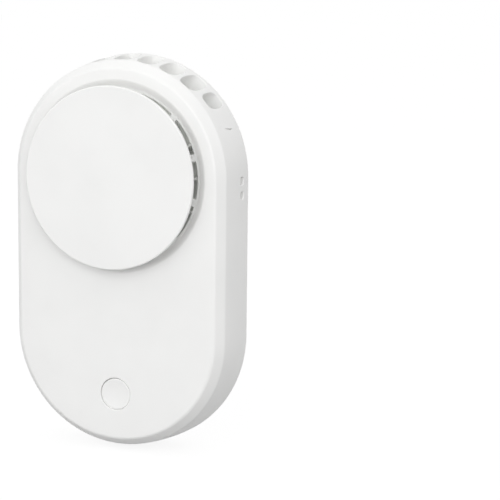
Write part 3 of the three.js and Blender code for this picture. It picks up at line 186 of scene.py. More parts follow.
# Button, board and socket
BUTTON_RADIUS = 4.3
BUTTON_GAP = 0.14
BUTTON_SHIFT = 0.06  # the button rests this much low and to the right in its hole
BUTTON_EDGE = 0.2
BUTTON_HOLLOW = 0.25  # depth of the hollow for the finger
BUTTON_RIM = 0.45  # flat ring round the hollow
FLANGE_RADIUS = 5.6
FLANGE_THICKNESS = 1
FLANGE_FRONT_Y = FACE_INSIDE_Y + SEAT_GAP
FLANGE_REAR_Y = FLANGE_FRONT_Y + FLANGE_THICKNESS
STEM_RADIUS = 1.5
GUIDE_RADIUS = FLANGE_RADIUS + FIT_GAP
GUIDE_WALL = 1.1
GUIDE_HEIGHT = 1.9
GUIDE_REAR_Y = FACE_INSIDE_Y + GUIDE_HEIGHT
BOARD_BOSS = (8.8, -35.2)
BOARD_BOSS_RADIUS = 2
SOCKET_WALL = 0.3
SOCKET_CORNER = 1.5
SOCKET_EDGE = 0.08
PORT_CLEARANCE = 0.35
PORT_EDGE = 0.35
TONGUE_WIDTH = 6.7
TONGUE_THICKNESS = 0.7
TONGUE_LENGTH = 4.6
TONGUE_CORNER = 0.15
TONGUE_TAPER = 0.2  # length over which its end gets thinner
TONGUE_BLOCK = 1.8
CONTACT_COUNT = 12
CONTACT_PITCH = 0.5
CONTACT_WIDTH = 0.26
CONTACT_HEIGHT = 0.03
CONTACT_INSET = 0.5  # from the end of the tongue

# Screws and their bosses
UPPER_BOSS = (23.4, -4.4)
LOWER_BOSS = (15.505, -39.026)
CASE_BOSSES = [(side * x, z) for x, z in (UPPER_BOSS, LOWER_BOSS) for side in (-1, 1)]
CASE_BOSS_RADIUS = 2.3
CASE_PAD_RADIUS = 3.2
CASE_PAD_FRONT_Y = -3.2
CASE_HEAD_SEAT_Y = -1.3
CASE_SCREW_LENGTH = 7
HEAD_RADIUS = 1.7
HEAD_HEIGHT = 0.9
HEAD_ROOM = 0.3
RECESS_EDGE = 0.3
CROSS_TOP = (1.1, 0.28)  # reach and half width of the cross recess above the head
CROSS_FLOOR = (0.7, 0.16)  # and at its floor
SHANK_RADIUS = 0.85
THREAD_DEPTH = 0.17
THREAD_PITCH = 0.8
THREAD_TIP = 0.5  # share of the shank's radius at its end
PILOT_RADIUS = 1.15
BOARD_SCREW_LENGTH = 4
MOTOR_SCREW_COUNT = 3
MOTOR_SCREW_LENGTH = 2.2
MOTOR_SCREW_CIRCLE = 12.6
MOTOR_SCREW_SEAT_Y = -4.2
MOTOR_BOSS_RADIUS = 2.2
MOTOR_BOSS_FRONT_Y = -2.8

# Cell and leads
CELL_CORNER = 2.5
CELL_EDGE = 0.9
PAD_CORNER = 1.2
PAD_EDGE = 0.5
RAIL_GAP = 0.4
RAIL_X = CELL_HIGH.x + RAIL_GAP
RAIL_WALL = 1
RAIL_HEIGHT = 6
RAIL_LENGTH = 14
LEAD_RADIUS = 0.5
LEAD_ROOM = 1  # beside the leads in the notch of the chamber wall
BATTERY_LEAD_X = 5.0055
MOTOR_LEAD_X = 1.1
LEAD_LANDING = 3.6
LEAD_DROP = 5

# Lanyard eyelet: two holes with a bar between them
EYELET_Y = PARTING_Y - 3.65
EYELET_MIDDLE_Z = AXIS_Z - 2.5
EYELET_SPACING = 3.9
EYELET_HEIGHT = 2
EYELET_WIDTH = 1.7
EYELET_CORNER = 0.5
EYELET_EDGE = 0.3
EYELET_DEPTH = 3  # outside to the back of the passage behind the bar
EYELET_BAR = 1.6  # thickness of the bar
EYELET_BOSS_DEPTH = 4.1  # widest place of the housing to the inner face of the boss round the passage
EYELET_BOSS_MARGIN = 0.8

# Fineness of the shapes
END_STEPS = 128
TURN_STEPS = 128
SMALL_TURN_STEPS = 48
ARC_STEPS = 24
SIDE_ROWS = 12
ROUND_STEPS = 6
EDGE_STEPS = 6
EDGE_TURN = math.radians(75)  # a rounded edge stops this far round, just short of lying in the surface
EDGE_CLEAR = 0.04  # how far a cutter ends above the surface
HEAD_STEPS = 32
HEAD_ROUND_STEPS = 4
THREAD_STEPS = 16
THREAD_ROWS = 6  # in one turn of the thread
LEAD_STEPS = 16
SHARP_ANGLE = math.radians(32)


# Mesh making

def shares(count):
    """Equal steps from 0 to 1."""
    return [i / count for i in range(count + 1)]


def turns(count):
    """Angles of equal steps round a circle."""
    return [2 * math.pi * i / count for i in range(count)]


def object_from(builder, name):
    """Object from a bmesh, with its faces pointing outwards."""
    bmesh.ops.recalc_face_normals(builder, faces=builder.faces)
    mesh = bpy.data.meshes.new(name)
    builder.to_mesh(mesh)
    builder.free()
    piece = bpy.data.objects.new(name, mesh)
    bpy.context.scene.collection.objects.link(piece)
    return piece


def loft(name, loops, closed=False):
    """Skin through loops of equal length, capped at both ends or closed on itself."""
    builder = bmesh.new()
    rings = [[builder.verts.new(point) for point in loop] for loop in loops]
    pairs = list(zip(rings, rings[1:]))
    if closed:
        pairs.append((rings[-1], rings[0]))
    else:
        builder.faces.new(rings[0])
        builder.faces.new(rings[-1])
    for low, high in pairs:
        for i in range(len(low)):
            builder.faces.new((low[i - 1], low[i], high[i], high[i - 1]))
    return object_from(builder, name)


def along_y(name, rows):
    """Solid along Y through (outline of (x, z), y) pairs."""
    return loft(name, [[(x, y, z) for x, z in outline] for outline, y in rows])


def along_z(name, rows, closed=False):
    """Solid along Z through (outline of (x, y), z) pairs."""
    return loft(name, [[(x, y, z) for x, y in outline] for outline, z in rows], closed)


def prism(name, outline, rear_y, front_y):
    """Straight solid along Y with an outline of (x, z) points."""
    return along_y(name, [(outline, rear_y), (outline, front_y)])


def turned(name, profile, x=0, z=AXIS_Z, steps=TURN_STEPS):
    """Profile of (radius, y) points turned about an axis along Y."""
    builder = bmesh.new()
    rings = []
    for radius, y in profile:
        angles = turns(steps if radius > 0 else 1)
        ring = [(x + radius * math.sin(turn), y, z + radius * math.cos(turn)) for turn in angles]
        rings.append([builder.verts.new(point) for point in ring])
    pairs = list(zip(rings, rings[1:]))
    if len(rings[0]) > 1:
        pairs.append((rings[-1], rings[0]))
    for one, two in pairs:
        for i in range(steps):
            one_side = [one[i % len(one)], one[(i + 1) % len(one)]]
            other_side = [two[(i + 1) % len(two)], two[i % len(two)]]
            corners = list(dict.fromkeys(one_side + other_side))
            if len(corners) > 2:
                builder.faces.new(corners)
    return object_from(builder, name)


def rod(name, radius, rear_y, front_y, x, z):
    """Plain round solid along Y."""
    profile = [(0, rear_y), (radius, rear_y), (radius, front_y), (0, front_y)]
    return turned(name, profile, x, z, SMALL_TURN_STEPS)


def block(name, low, high):
    """Straight-sided solid between two corners."""
    outline = [(low[0], low[2]), (high[0], low[2]), (high[0], high[2]), (low[0], high[2])]
    return prism(name, outline, low[1], high[1])


def keep_result(piece):
    """Makes what a piece's modifiers give its plain mesh."""
    graph = bpy.context.evaluated_depsgraph_get()
    piece.data = bpy.data.meshes.new_from_object(piece.evaluated_get(graph), depsgraph=graph)
    piece.modifiers.clear()
    return piece


def combine(base, operation, *tools):
    """Base joined with, cut by or kept inside each tool in turn. The tools are used up."""
    for tool in tools:
        step = base.modifiers.new("step", "BOOLEAN")
        step.operation = operation
        step.solver = "MANIFOLD"
        step.object = tool
    keep_result(base)
    for tool in tools:
        bpy.data.objects.remove(tool)
    return base


def rounded(corners, steps=ROUND_STEPS):
    """Path through (across, along, radius) corners, with an arc where there is a radius."""
    path = []
    for i, (across, along, radius) in enumerate(corners):
        here = Vector((across, along))
        if radius == 0:
            path.append(here)
            continue
        back = (Vector(corners[i - 1][:2]) - here).normalized()
        ahead = (Vector(corners[(i + 1) % len(corners)][:2]) - here).normalized()
        half = back.angle(ahead) / 2
        middle = here + (back + ahead).normalized() * (radius / math.sin(half))
        run = radius / math.tan(half)
        start = (here + back * run - middle).normalized()
        end = (here + ahead * run - middle).normalized()
        path.extend(middle + start.slerp(end, share) * radius for share in shares(steps))
    return path


def slot_outline(width, length, corner, middle=0):
    """Rounded rectangle, as a function of the offset that it is grown by."""
    def grown(offset):
        across = width / 2 + offset
        along = length / 2 + offset
        radius = corner + offset
        signs = ((1, -1), (1, 1), (-1, 1), (-1, -1))
        return rounded([(a * across, middle + b * along, radius) for a, b in signs])
    return grown


def oval_outline(width, length, fullness, middle):
    """Oval, as a function of the offset that it is grown by."""
    def full(part):
        return math.copysign(abs(part) ** (2 / fullness), part)

    def grown(offset):
        across = width / 2 + offset
        along = length / 2 + offset
        angles = turns(SMALL_TURN_STEPS)
        return [(across * full(math.cos(t)), middle + along * full(math.sin(t))) for t in angles]
    return grown


def edge_rows(edge):
    """Rounded edge as rows of (offset outwards, depth below the surface), ending just above it."""
    angles = [EDGE_TURN * share for share in shares(EDGE_STEPS)]
    rows = [(edge * (1 - math.cos(turn)), edge * (1 - math.sin(turn))) for turn in angles]
    offset, depth = rows[-1]
    rows.append((offset + (depth + EDGE_CLEAR) * math.tan(EDGE_TURN), -EDGE_CLEAR))
    return rows


def flared_cutter(name, outline, surface, place, depth, edge):
    """Cutter for a hole with a rounded edge. The outline is a function of its offset, surface gives the
    height of the outside at a point, and place puts a point and a height in the object."""
    rows = [(0, depth), *edge_rows(edge)]
    rows.append((rows[-1][0], -OVERRUN))
    loops = []
    for offset, below in rows:
        loops.append([place(u, v, surface(u, v) - below) for u, v in outline(offset)])
    return loft(name, loops)


def flared_bore(name, radius, surface_y, inward, depth, edge, x, z):
    """Round cutter with a rounded edge in a flat face. Inward is the sign of Y that leads into it."""
    rows = reversed(edge_rows(edge))
    profile = [(radius + offset, surface_y + inward * below) for offset, below in rows]
    end_y = surface_y + inward * depth
    return turned(name, [(0, profile[0][1]), *profile, (radius, end_y), (0, end_y)], x, z)


def soft_ends(outline, low, high, edge):
    """Rows of (outline, place) from low to high, rounded at both ends."""
    angles = [math.pi / 2 * share for share in shares(ROUND_STEPS)]
    start = [(outline(edge * (math.sin(t) - 1)), low + edge * (1 - math.cos(t))) for t in angles]
    end = [(outline(edge * (math.cos(t) - 1)), high - edge * (1 - math.sin(t))) for t in angles]
    return start + end


def polar(radius, angle):
    """Point at an angle clockwise from straight up, seen from the front."""
    return radius * math.sin(angle), radius * math.cos(angle)


def sector(inner, outer, start, end, half_bar=0, corner=0):
    """Piece of a flat ring round the origin, with half a bar kept free along each end."""
    corners = []
    for radius, forwards in ((outer, True), (inner, False)):
        inset = math.asin(half_bar / radius)
        clear = 2 * corner / radius  # keeps the arc's points clear of the rounded corners
        first, last = start + inset, end - inset
        reach = last - first - 2 * clear
        arc = [(first + clear + reach * share, 0) for share in shares(ARC_STEPS)]
        if corner:
            arc = [(first, corner), *arc, (last, corner)]
        if not forwards:
            arc.reverse()
        corners += [(*polar(radius, turn), bend) for turn, bend in arc]
    return rounded(corners)


def lifted(outline):
    """Outline round the origin moved to the blower's axis."""
    return [(x, AXIS_Z + z) for x, z in outline]


# Node making, for materials and for repeated pieces

def add(tree, kind, links=None, values=None, **settings):
    """A node with its settings, the constants of its inputs, and links of input: (node, output)."""
    node = tree.nodes.new(kind)
    for name, value in settings.items():
        setattr(node, name, value)
    for name, value in (values or {}).items():
        node.inputs[name].default_value = value
    for name, (source, output) in (links or {}).items():
        tree.links.new(source.outputs[output], node.inputs[name])
    return node


def copies_tree():
    """Geometry tree that lays copies of a mesh in a row, turns them about Y and sets a material."""
    tree = bpy.data.node_groups.new("copies", "GeometryNodeTree")
    tree.interface.new_socket("Geometry", in_out="OUTPUT", socket_type="NodeSocketGeometry")
    kinds = {
        "Geometry": "Geometry", "Count": "Int", "Start": "Vector", "Step": "Vector",
        "First": "Float", "Turn": "Float", "Material": "Material",
    }
    for socket, kind in kinds.items():
        tree.interface.new_socket(socket, in_out="INPUT", socket_type="NodeSocket" + kind)
    inputs = add(tree, "NodeGroupInput")
    line = add(tree, "GeometryNodeMeshLine", {
        "Count": (inputs, "Count"), "Start Location": (inputs, "Start"), "Offset": (inputs, "Step"),
    }, mode="OFFSET")
    index = add(tree, "GeometryNodeInputIndex")
    turn = add(tree, "ShaderNodeMath", {0: (index, 0), 1: (inputs, "Turn"), 2: (inputs, "First")},
               operation="MULTIPLY_ADD")
    angles = add(tree, "ShaderNodeCombineXYZ", {"Y": (turn, 0)})
    rotation = add(tree, "FunctionNodeEulerToRotation", {"Euler": (angles, 0)})
    copies = add(tree, "GeometryNodeInstanceOnPoints", {
        "Points": (line, 0), "Instance": (inputs, "Geometry"), "Rotation": (rotation, 0),
    })
    real = add(tree, "GeometryNodeRealizeInstances", {"Geometry": (copies, "Instances")})
    finish = add(tree, "GeometryNodeSetMaterial",
                 {"Geometry": (real, 0), "Material": (inputs, "Material")})
    add(tree, "NodeGroupOutput", {"Geometry": (finish, 0)})
    return tree


COPIES = copies_tree()


def repeated(piece, **sizes):
    """Copies of a piece by the named sizes of the copies tree, kept as its mesh."""
    step = piece.modifiers.new("copies", "NODES")
    step.node_group = COPIES
    for socket in COPIES.interface.items_tree:
        if socket.in_out == "INPUT" and socket.name in sizes:
            step[socket.identifier] = sizes[socket.name]
    return keep_result(piece)


def round_blower(piece, count, first=0, turn=None):
    """Copies of a piece, drawn straight above the origin, round the blower's axis."""
    return repeated(piece, Count=count, Start=BLOWER, First=first, Turn=turn or 2 * math.pi / count)


def done(piece, body, slot, *nodes, material=None):
    """Makes a piece metric, shades it in its slot's material or the one given, ties it to its body
    and hides the solids that it stands for."""
    mesh = piece.data
    mesh.transform(Matrix.Scale(MM, 4))
    mesh.materials.clear()
    mesh.materials.append(material or FINISHES[slot])
    mesh.polygons.foreach_set("material_index", [0] * len(mesh.polygons))
    mesh.shade_smooth()
    mesh.set_sharp_from_angle(angle=SHARP_ANGLE)
    shading = piece.modifiers.new("even shading", "WEIGHTED_NORMAL")
    shading.keep_sharp = True
    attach(piece, body)
    if nodes:
        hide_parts(*nodes)
    return piece


# Materials

def colour(code):
    """Linear colour from an sRGB hex value."""
    channels = [int(code[i:i + 2], 16) / 255 for i in (1, 3, 5)]
    linear = [c / 12.92 if c <= 0.04045 else ((c + 0.055) / 1.055) ** 2.4 for c in channels]
    return (*linear, 1)


def per_size(millimetres):
    """Texture scale for a pattern of the given size on Object coordinates."""
    return 1 / (millimetres * MM)


def new_material(name, **values):
    """Material, its tree, its shader with constants, and the link that lays a texture on the object."""
    material = bpy.data.materials.new(name)
    material.use_nodes = True
    tree = material.node_tree
    shader = tree.nodes["Principled BSDF"]
    for socket, value in values.items():
        shader.inputs[socket].default_value = value
    return material, tree, shader, {"Vector": (add(tree, "ShaderNodeTexCoord"), "Object")}


def vary_colour(tree, shader, source, dark, light, low, high):
    """Base colour that runs from dark to light as a texture's value goes from low to high."""
    ramp = add(tree, "ShaderNodeMapRange", {"Value": source}, {"From Min": low, "From Max": high})
    mix = add(tree, "ShaderNodeMix", {"Factor": (ramp, 0)}, data_type="RGBA")
    mix.inputs[6].default_value = colour(dark)
    mix.inputs[7].default_value = colour(light)
    tree.links.new(mix.outputs[2], shader.inputs["Base Color"])


def vary_roughness(tree, shader, source, smooth, rough):
    """Roughness that runs between two values with a texture's value."""
    spread = add(tree, "ShaderNodeMapRange", {"Value": source}, {"To Min": smooth, "To Max": rough})
    tree.links.new(spread.outputs[0], shader.inputs["Roughness"])


def add_bump(tree, shader, source, depth):
    """Relief of a depth in millimetres from a texture's value."""
    bump = add(tree, "ShaderNodeBump", {"Height": source}, {"Distance": depth * MM, "Strength": 1})
    tree.links.new(bump.outputs[0], shader.inputs["Normal"])


def add_ridges(tree, shader, source, size, depth):
    """Ridges along a coordinate that rise over a size to a depth, both in millimetres."""
    wave = add(tree, "ShaderNodeMath", {0: source}, {1: size * MM}, operation="PINGPONG")
    height = add(tree, "ShaderNodeMath", {0: (wave, 0)}, {1: per_size(size)}, operation="MULTIPLY")
    add_bump(tree, shader, (height, 0), depth)


def moulded_white_abs():
    """ABS, injection moulded in a spark-eroded tool: an even satin white with a very fine grain.
    The real grain is about 0.05 mm and is drawn at 0.35 mm, faintly, so that it can show."""
    material, tree, shader, place = new_material("moulded white ABS", IOR=1.53)
    grain = add(tree, "ShaderNodeTexNoise", place,
                {"Scale": per_size(0.35), "Detail": 3, "Roughness": 0.6})
    cloud = add(tree, "ShaderNodeTexNoise", place, {"Scale": per_size(18), "Detail": 2})
    vary_colour(tree, shader, (cloud, 0), "#f6f6f5", "#f9f9f8", 0.35, 0.65)
    vary_roughness(tree, shader, (grain, 0), 0.4, 0.5)
    add_bump(tree, shader, (grain, 0), 0.004)
    return material


def natural_polycarbonate():
    """Polycarbonate, moulded without pigment: cloudy white, smoother than the housing."""
    material, tree, shader, place = new_material("natural polycarbonate", IOR=1.58)
    flow = add(tree, "ShaderNodeTexNoise", place, {"Scale": per_size(6), "Detail": 3, "Distortion": 0.8})
    vary_colour(tree, shader, (flow, 0), "#f1f2f0", "#f8f9f7", 0.3, 0.7)
    vary_roughness(tree, shader, (flow, 0), 0.28, 0.4)
    return material


def grained(name, dark, light, grain, smooth, rough, relief=0, detail=4, fineness=0.6, **constants):
    """Material whose tone, gloss and relief shift with a grain. Grain and relief are in millimetres."""
    material, tree, shader, place = new_material(name, **constants)
    noise = add(tree, "ShaderNodeTexNoise", place,
                {"Scale": per_size(grain), "Detail": detail, "Roughness": fineness})
    vary_colour(tree, shader, (noise, 0), dark, light, 0.3, 0.7)
    vary_roughness(tree, shader, (noise, 0), smooth, rough)
    if relief:
        add_bump(tree, shader, (noise, 0), relief)
    return material, tree, shader, place


def metal(*look):
    """Grained material that is a bare metal."""
    return grained(*look, detail=5, fineness=0.65, Metallic=1)


def lamination_steel():
    """Stacked silicon-steel sheets, 0.35 mm each: dull grey with fine lines along the stack."""
    material, tree, shader, place = metal("lamination steel", "#63676a", "#7c8083", 1.2, 0.4, 0.55)
    split = add(tree, "ShaderNodeSeparateXYZ", place)
    add_ridges(tree, shader, (split, "Y"), 0.35, 0.03)
    return material


def sintered_bronze():
    """Bronze powder pressed and sintered: brown-gold and finely porous."""
    material, tree, shader, place = metal("sintered bronze", "#7f6238", "#a98a58", 0.3, 0.42, 0.6)
    pores = add(tree, "ShaderNodeTexVoronoi", place, {"Scale": per_size(0.2)})
    add_bump(tree, shader, (pores, "Distance"), 0.02)
    return material


def enamelled_copper():
    """Copper wire, 0.2 mm, with clear enamel, wound along each pole: orange and ribbed."""
    material, tree, shader, place = metal("enamelled copper", "#96491d", "#bd6a34", 1.5, 0.26, 0.38)
    shader.inputs["Coat Weight"].default_value = 0.5
    moved = add(tree, "ShaderNodeVectorMath", {0: place["Vector"]}, {1: (0, 0, -AXIS_Z * MM)},
                operation="ADD")
    flat = add(tree, "ShaderNodeVectorMath", {0: (moved, 0)}, {1: (1, 0, 1)}, operation="MULTIPLY")
    radius = add(tree, "ShaderNodeVectorMath", {0: (flat, 0)}, operation="LENGTH")
    add_ridges(tree, shader, (radius, "Value"), 0.1, 0.06)
    return material


def solder_mask():
    """Glass-epoxy laminate under green solder mask, with copper tracks showing as paler bands."""
    material, tree, shader, place = new_material("green solder mask", IOR=1.5)
    upright = add(tree, "ShaderNodeMapping", place, {"Rotation": (math.pi / 2, 0, 0)})
    tracks = add(tree, "ShaderNodeTexBrick", {"Vector": (upright, 0)}, {
        "Scale": per_size(4), "Mortar Size": 0.05, "Brick Width": 0.6, "Row Height": 0.3,
        "Color1": colour("#1d5638"), "Color2": colour("#205c3d"), "Mortar": colour("#2f7a52"),
    })
    tree.links.new(tracks.outputs["Color"], shader.inputs["Base Color"])
    weave = add(tree, "ShaderNodeTexNoise", place, {"Scale": per_size(0.5), "Detail": 3})
    vary_roughness(tree, shader, (weave, 0), 0.3, 0.46)
    add_bump(tree, shader, (tracks, "Fac"), 0.02)
    return material


def pouch_foil():
    """Aluminium laminate film round the cell: soft silver with shallow creases."""
    material, tree, shader, place = metal("aluminium pouch foil", "#b3b7bb", "#ced1d3", 4, 0.3, 0.44)
    creases = add(tree, "ShaderNodeTexVoronoi", place, {"Scale": per_size(5), "Randomness": 1},
                  feature="SMOOTH_F1")
    add_bump(tree, shader, (creases, "Distance"), 0.12)
    return material


def pad_foam():
    """Closed-cell foam, cut from sheet: charcoal with fine open cells on the cut face."""
    material, tree, shader, place = new_material("closed-cell foam", Roughness=0.95)
    cells = add(tree, "ShaderNodeTexVoronoi", place, {"Scale": per_size(0.45)})
    vary_colour(tree, shader, (cells, "Distance"), "#333336", "#1f1f21", 0.1, 0.8)
    add_bump(tree, shader, (cells, "Distance"), 0.15)
    return material


def gold_plating():
    """Hard gold over nickel on the socket's contacts: warm and smooth."""
    return metal("gold plating", "#c9973a", "#e0b457", 0.6, 0.18, 0.3)[0]


FINISHES = {
    "white_abs": moulded_white_abs(),
    "natural_pc": natural_polycarbonate(),
    # Steel with bright zinc plating: grey with faint cloudy tones
    "plated_steel": metal("zinc-plated steel", "#a9adb1", "#c6c9cc", 0.8, 0.24, 0.38)[0],
    "lamination_steel": lamination_steel(),
    # Pressed and fired ferrite: charcoal grey, slightly grainy
    "ferrite": grained("fired ferrite", "#2c2c2e", "#434346", 0.25, 0.6, 0.78, 0.01)[0],
    "enamelled_copper": enamelled_copper(),
    "sintered_bronze": sintered_bronze(),
    # Glass-filled nylon, moulded: black with pale fibre flecks
    "black_nylon": grained("glass-filled black nylon", "#151517", "#2a2a2c", 0.4, 0.5, 0.68, 0.01)[0],
    # Epoxy moulding compound round a chip: matt near-black, finely eroded
    "black_epoxy": grained("black epoxy", "#17181a", "#232427", 0.12, 0.55, 0.7, 0.006)[0],
    "board_laminate": solder_mask(),
    "pouch_foil": pouch_foil(),
    "foam": pad_foam(),
    # Silicone wire sleeves, extruded: slightly waxy
    "red_sleeve": grained("red silicone sleeve", "#a51c1a", "#bf2823", 0.9, 0.42, 0.55, 0.004)[0],
    "black_sleeve": grained("black silicone sleeve", "#141416", "#222225", 0.9, 0.42, 0.55, 0.004)[0],
}


# Housing

def side_half(y):
    """Half width of the housing's crowned side wall at a depth."""
    forward = (PARTING_Y - y) / (PARTING_Y - SIDE_FRONT_Y)
    return HALF_WIDTH - SIDE_DRAFT * forward + 4 * SIDE_CROWN * forward * (1 - forward)


FACE_HALF = side_half(SIDE_FRONT_Y) - BEVEL_INSET


def pill(half, y):
    """Pill-shaped loop round the housing at a depth, over the top end first."""
    points = []
    for end, half_turns in ((1, 0), (-1, 1)):
        for share in shares(END_STEPS):
            turn = math.pi * (share + half_turns)
            points.append((half * math.cos(turn), y, end * AXIS_Z + half * math.sin(turn)))
    return points


def pill_solid(name, path, closed=False):
    """Solid through pill-shaped loops at (half width, y) points."""
    return loft(name, [pill(half, y) for half, y in path], closed)


def side_path(start_y, end_y, inset=0):
    """Points of (half width, y) along the side wall, or along a line inside it."""
    rows = [start_y + (end_y - start_y) * share for share in shares(SIDE_ROWS)]
    return [(side_half(y) - inset, y) for y in rows]


def shell_skin():
    """Outside of the front half: rounded rim, crowned side, soft bevel and flat face."""
    side = side_path(PARTING_Y, SIDE_FRONT_Y)
    return pill_solid("housing_front", rounded([
        (side[0][0] - 3 * RIM_ROUND, PARTING_Y, 0), (*side[0], RIM_ROUND),
        *[(half, y, 0) for half, y in side[1:-1]],
        (*side[-1], SIDE_ROUND), (FACE_HALF, FRONT_Y, FACE_ROUND),
        (FACE_HALF - 2 * FACE_ROUND, FRONT_Y, 0),
    ]))


def scroll_outline():
    """The chamber's spiral wall, which widens from the cut-off round below the wheel."""
    start = DUCT_HALF_ANGLE - SCROLL_OVERLAP
    sweep = 2 * (math.pi - start)
    spiral = [(SCROLL_RADIUS + SCROLL_GROWTH * s, start + sweep * s) for s in shares(TURN_STEPS)]
    inner = [polar(radius, turn) for radius, turn in spiral]
    outer = [polar(radius + SCROLL_WALL, turn) for radius, turn in reversed(spiral)]
    return lifted(inner + outer)


def shell_cavity():
    """Room inside the front half, less what stands in it."""
    path = [(HALF_WIDTH - WALL, PARTING_Y + OVERRUN)]
    path += side_path(PARTING_Y, SIDE_FRONT_Y + INNER_BEND, WALL)
    path.append((FACE_HALF - INNER_FACE_INSET, FACE_INSIDE_Y))
    front = FACE_INSIDE_Y - OVERLAP
    backing = DISH_RADIUS + WALL
    duct = sector(DUCT_WALL_RADIUS, HALF_WIDTH + OVERRUN, -DUCT_HALF_ANGLE, DUCT_HALF_ANGLE)
    guide = GUIDE_RADIUS + GUIDE_WALL
    features = [
        turned("dish backing", [
            (0, front), (backing, front), (backing, FACE_INSIDE_Y),
            (DISH_LIP_RADIUS + DISH_WALL / 2, DISH_BACK_Y), (0, DISH_BACK_Y),
        ]),
        prism("duct", lifted(duct), CHAMBER_JOINT_Y, front),
        prism("scroll", scroll_outline(), CHAMBER_JOINT_Y, front),
        turned("guide", [
            (GUIDE_RADIUS, front), (guide, front), (guide, GUIDE_REAR_Y), (GUIDE_RADIUS, GUIDE_REAR_Y),
        ], 0, BUTTON_Z),
        eyelet_boss(),
    ]
    for x, z in CASE_BOSSES:
        features.append(rod("case boss", CASE_BOSS_RADIUS, PARTING_Y + 2 * OVERRUN, front, x, z))
    x, z = BOARD_BOSS
    rail_low, rail_high = CELL_MIDDLE.z - RAIL_LENGTH / 2, CELL_MIDDLE.z + RAIL_LENGTH / 2
    for side in (-1, 1):
        features.append(rod("board boss", BOARD_BOSS_RADIUS, BOARD_LOW.y - SEAT_GAP, front, side * x, z))
        left, right = sorted((side * RAIL_X, side * (RAIL_X + RAIL_WALL)))
        features.append(block(
            "cell rail", (left, front, rail_low), (right, FACE_INSIDE_Y + RAIL_HEIGHT, rail_high),
        ))
    return combine(pill_solid("cavity", path), "DIFFERENCE", *features)


def dish_tool():
    """S-shaped slope from the front face down to the floor of the intake."""
    slope = []
    for share in shares(2 * EDGE_STEPS):
        drop = share * share * (3 - 2 * share)
        radius = DISH_RADIUS + (DISH_LIP_RADIUS - DISH_RADIUS) * share
        slope.append((radius, FRONT_Y + DISH_DEPTH * drop))
    above = (DISH_RADIUS + EDGE_CLEAR, FRONT_Y - EDGE_CLEAR)
    return turned("dish", [(0, above[1]), above, *slope[1:], (0, DISH_FLOOR_Y)])


def window_tools():
    """Twelve arc windows with posts between them and a small rounded edge."""
    half_pitch = math.pi / WINDOW_COUNT
    rows = []
    for offset, below in [(0, DISH_WALL + OVERLAP), *edge_rows(WINDOW_EDGE)]:
        outline = sector(WINDOW_INNER - offset, WINDOW_OUTER + offset, -half_pitch, half_pitch,
                         POST_WIDTH / 2 - offset, WINDOW_CORNER)
        rows.append((outline, DISH_FLOOR_Y + below))
    return round_blower(along_y("window", rows), WINDOW_COUNT)


def wall_height(u, y):
    """Height of the outside above the middle of a round end, at a point across it."""
    return math.sqrt(side_half(y) ** 2 - u * u)


def vent_tools():
    """Nine oval outlet vents with rounded edges round the top end, the last of each side smaller."""
    depth = side_half(VENT_Y) - DUCT_WALL_RADIUS + 2 * OVERLAP
    reach = VENT_PITCH * (VENT_COUNT - 1) / 2
    rows = (
        (VENT_WIDTH, VENT_LENGTH, VENT_Y, VENT_COUNT - 2, VENT_PITCH - reach, VENT_PITCH),
        (END_VENT_WIDTH, END_VENT_LENGTH, END_VENT_Y, 2, -reach, 2 * reach),
    )
    tools = []
    for width, length, middle, count, first, step in rows:
        vent = flared_cutter(
            "vent", oval_outline(width, length, VENT_FULLNESS, middle), wall_height,
            lambda u, y, height: (u, y, height), depth, VENT_EDGE,
        )
        tools.append(round_blower(vent, count, first, step))
    return tools


def notch_tools():
    """The crescent notch past the last vent of each side, on the line of the vents."""
    tools = []
    for side in (-1, 1):
        turn = Matrix.Rotation(side * NOTCH_ANGLE, 3, "Y")
        loops = []
        for height in (side_half(NOTCH_Y) - NOTCH_DEPTH, HALF_WIDTH + OVERRUN):
            points = []
            for share in shares(2 * EDGE_STEPS):
                along = 2 * share - 1
                down = NOTCH_SLANT * share + NOTCH_WIDTH * (1 - along * along)
                points.append(Vector((side * down, NOTCH_Y + along * NOTCH_LENGTH / 2, height)))
            loops.append([turn @ point + Vector(BLOWER) for point in points])
        tools.append(loft("notch", loops))
    return tools


def eyelet_boss():
    """Block inside the right-hand wall that holds the passage of the lanyard eyelet."""
    half_width = EYELET_WIDTH / 2 + EYELET_BOSS_MARGIN
    reach = (EYELET_SPACING + EYELET_HEIGHT) / 2 + EYELET_BOSS_MARGIN
    return block(
        "eyelet boss", (HALF_WIDTH - EYELET_BOSS_DEPTH, EYELET_Y - half_width, EYELET_MIDDLE_Z - reach),
        (HALF_WIDTH, EYELET_Y + half_width, EYELET_MIDDLE_Z + reach),
    )


def eyelet_tools():
    """The two holes of the lanyard eyelet in the right-hand side, and the passage behind the bar."""
    outline = slot_outline(EYELET_HEIGHT, EYELET_WIDTH, EYELET_CORNER, EYELET_Y)
    outside = side_half(EYELET_Y)
    low, high = EYELET_MIDDLE_Z - EYELET_SPACING / 2, EYELET_MIDDLE_Z + EYELET_SPACING / 2
    tools = [block(
        "passage", (outside - EYELET_DEPTH, EYELET_Y - EYELET_WIDTH / 2, low),
        (outside - EYELET_BAR, EYELET_Y + EYELET_WIDTH / 2, high),
    )]
    for middle in (low, high):
        tools.append(flared_cutter(
            "eyelet", outline, lambda u, y: side_half(y),
            lambda u, y, height, z=middle: (height, y, z + u), EYELET_DEPTH, EYELET_EDGE,
        ))
    return tools


def port_tool():
    """Opening for the charging socket in the bottom end."""
    outline = slot_outline(SOCKET_SIZE.x, SOCKET_SIZE.y, SOCKET_CORNER, SOCKET_Y)
    return flared_cutter(
        "port", lambda offset: outline(PORT_CLEARANCE + offset), wall_height,
        lambda u, y, down: (u, y, -AXIS_Z - down), 2 * WALL, PORT_EDGE,
    )


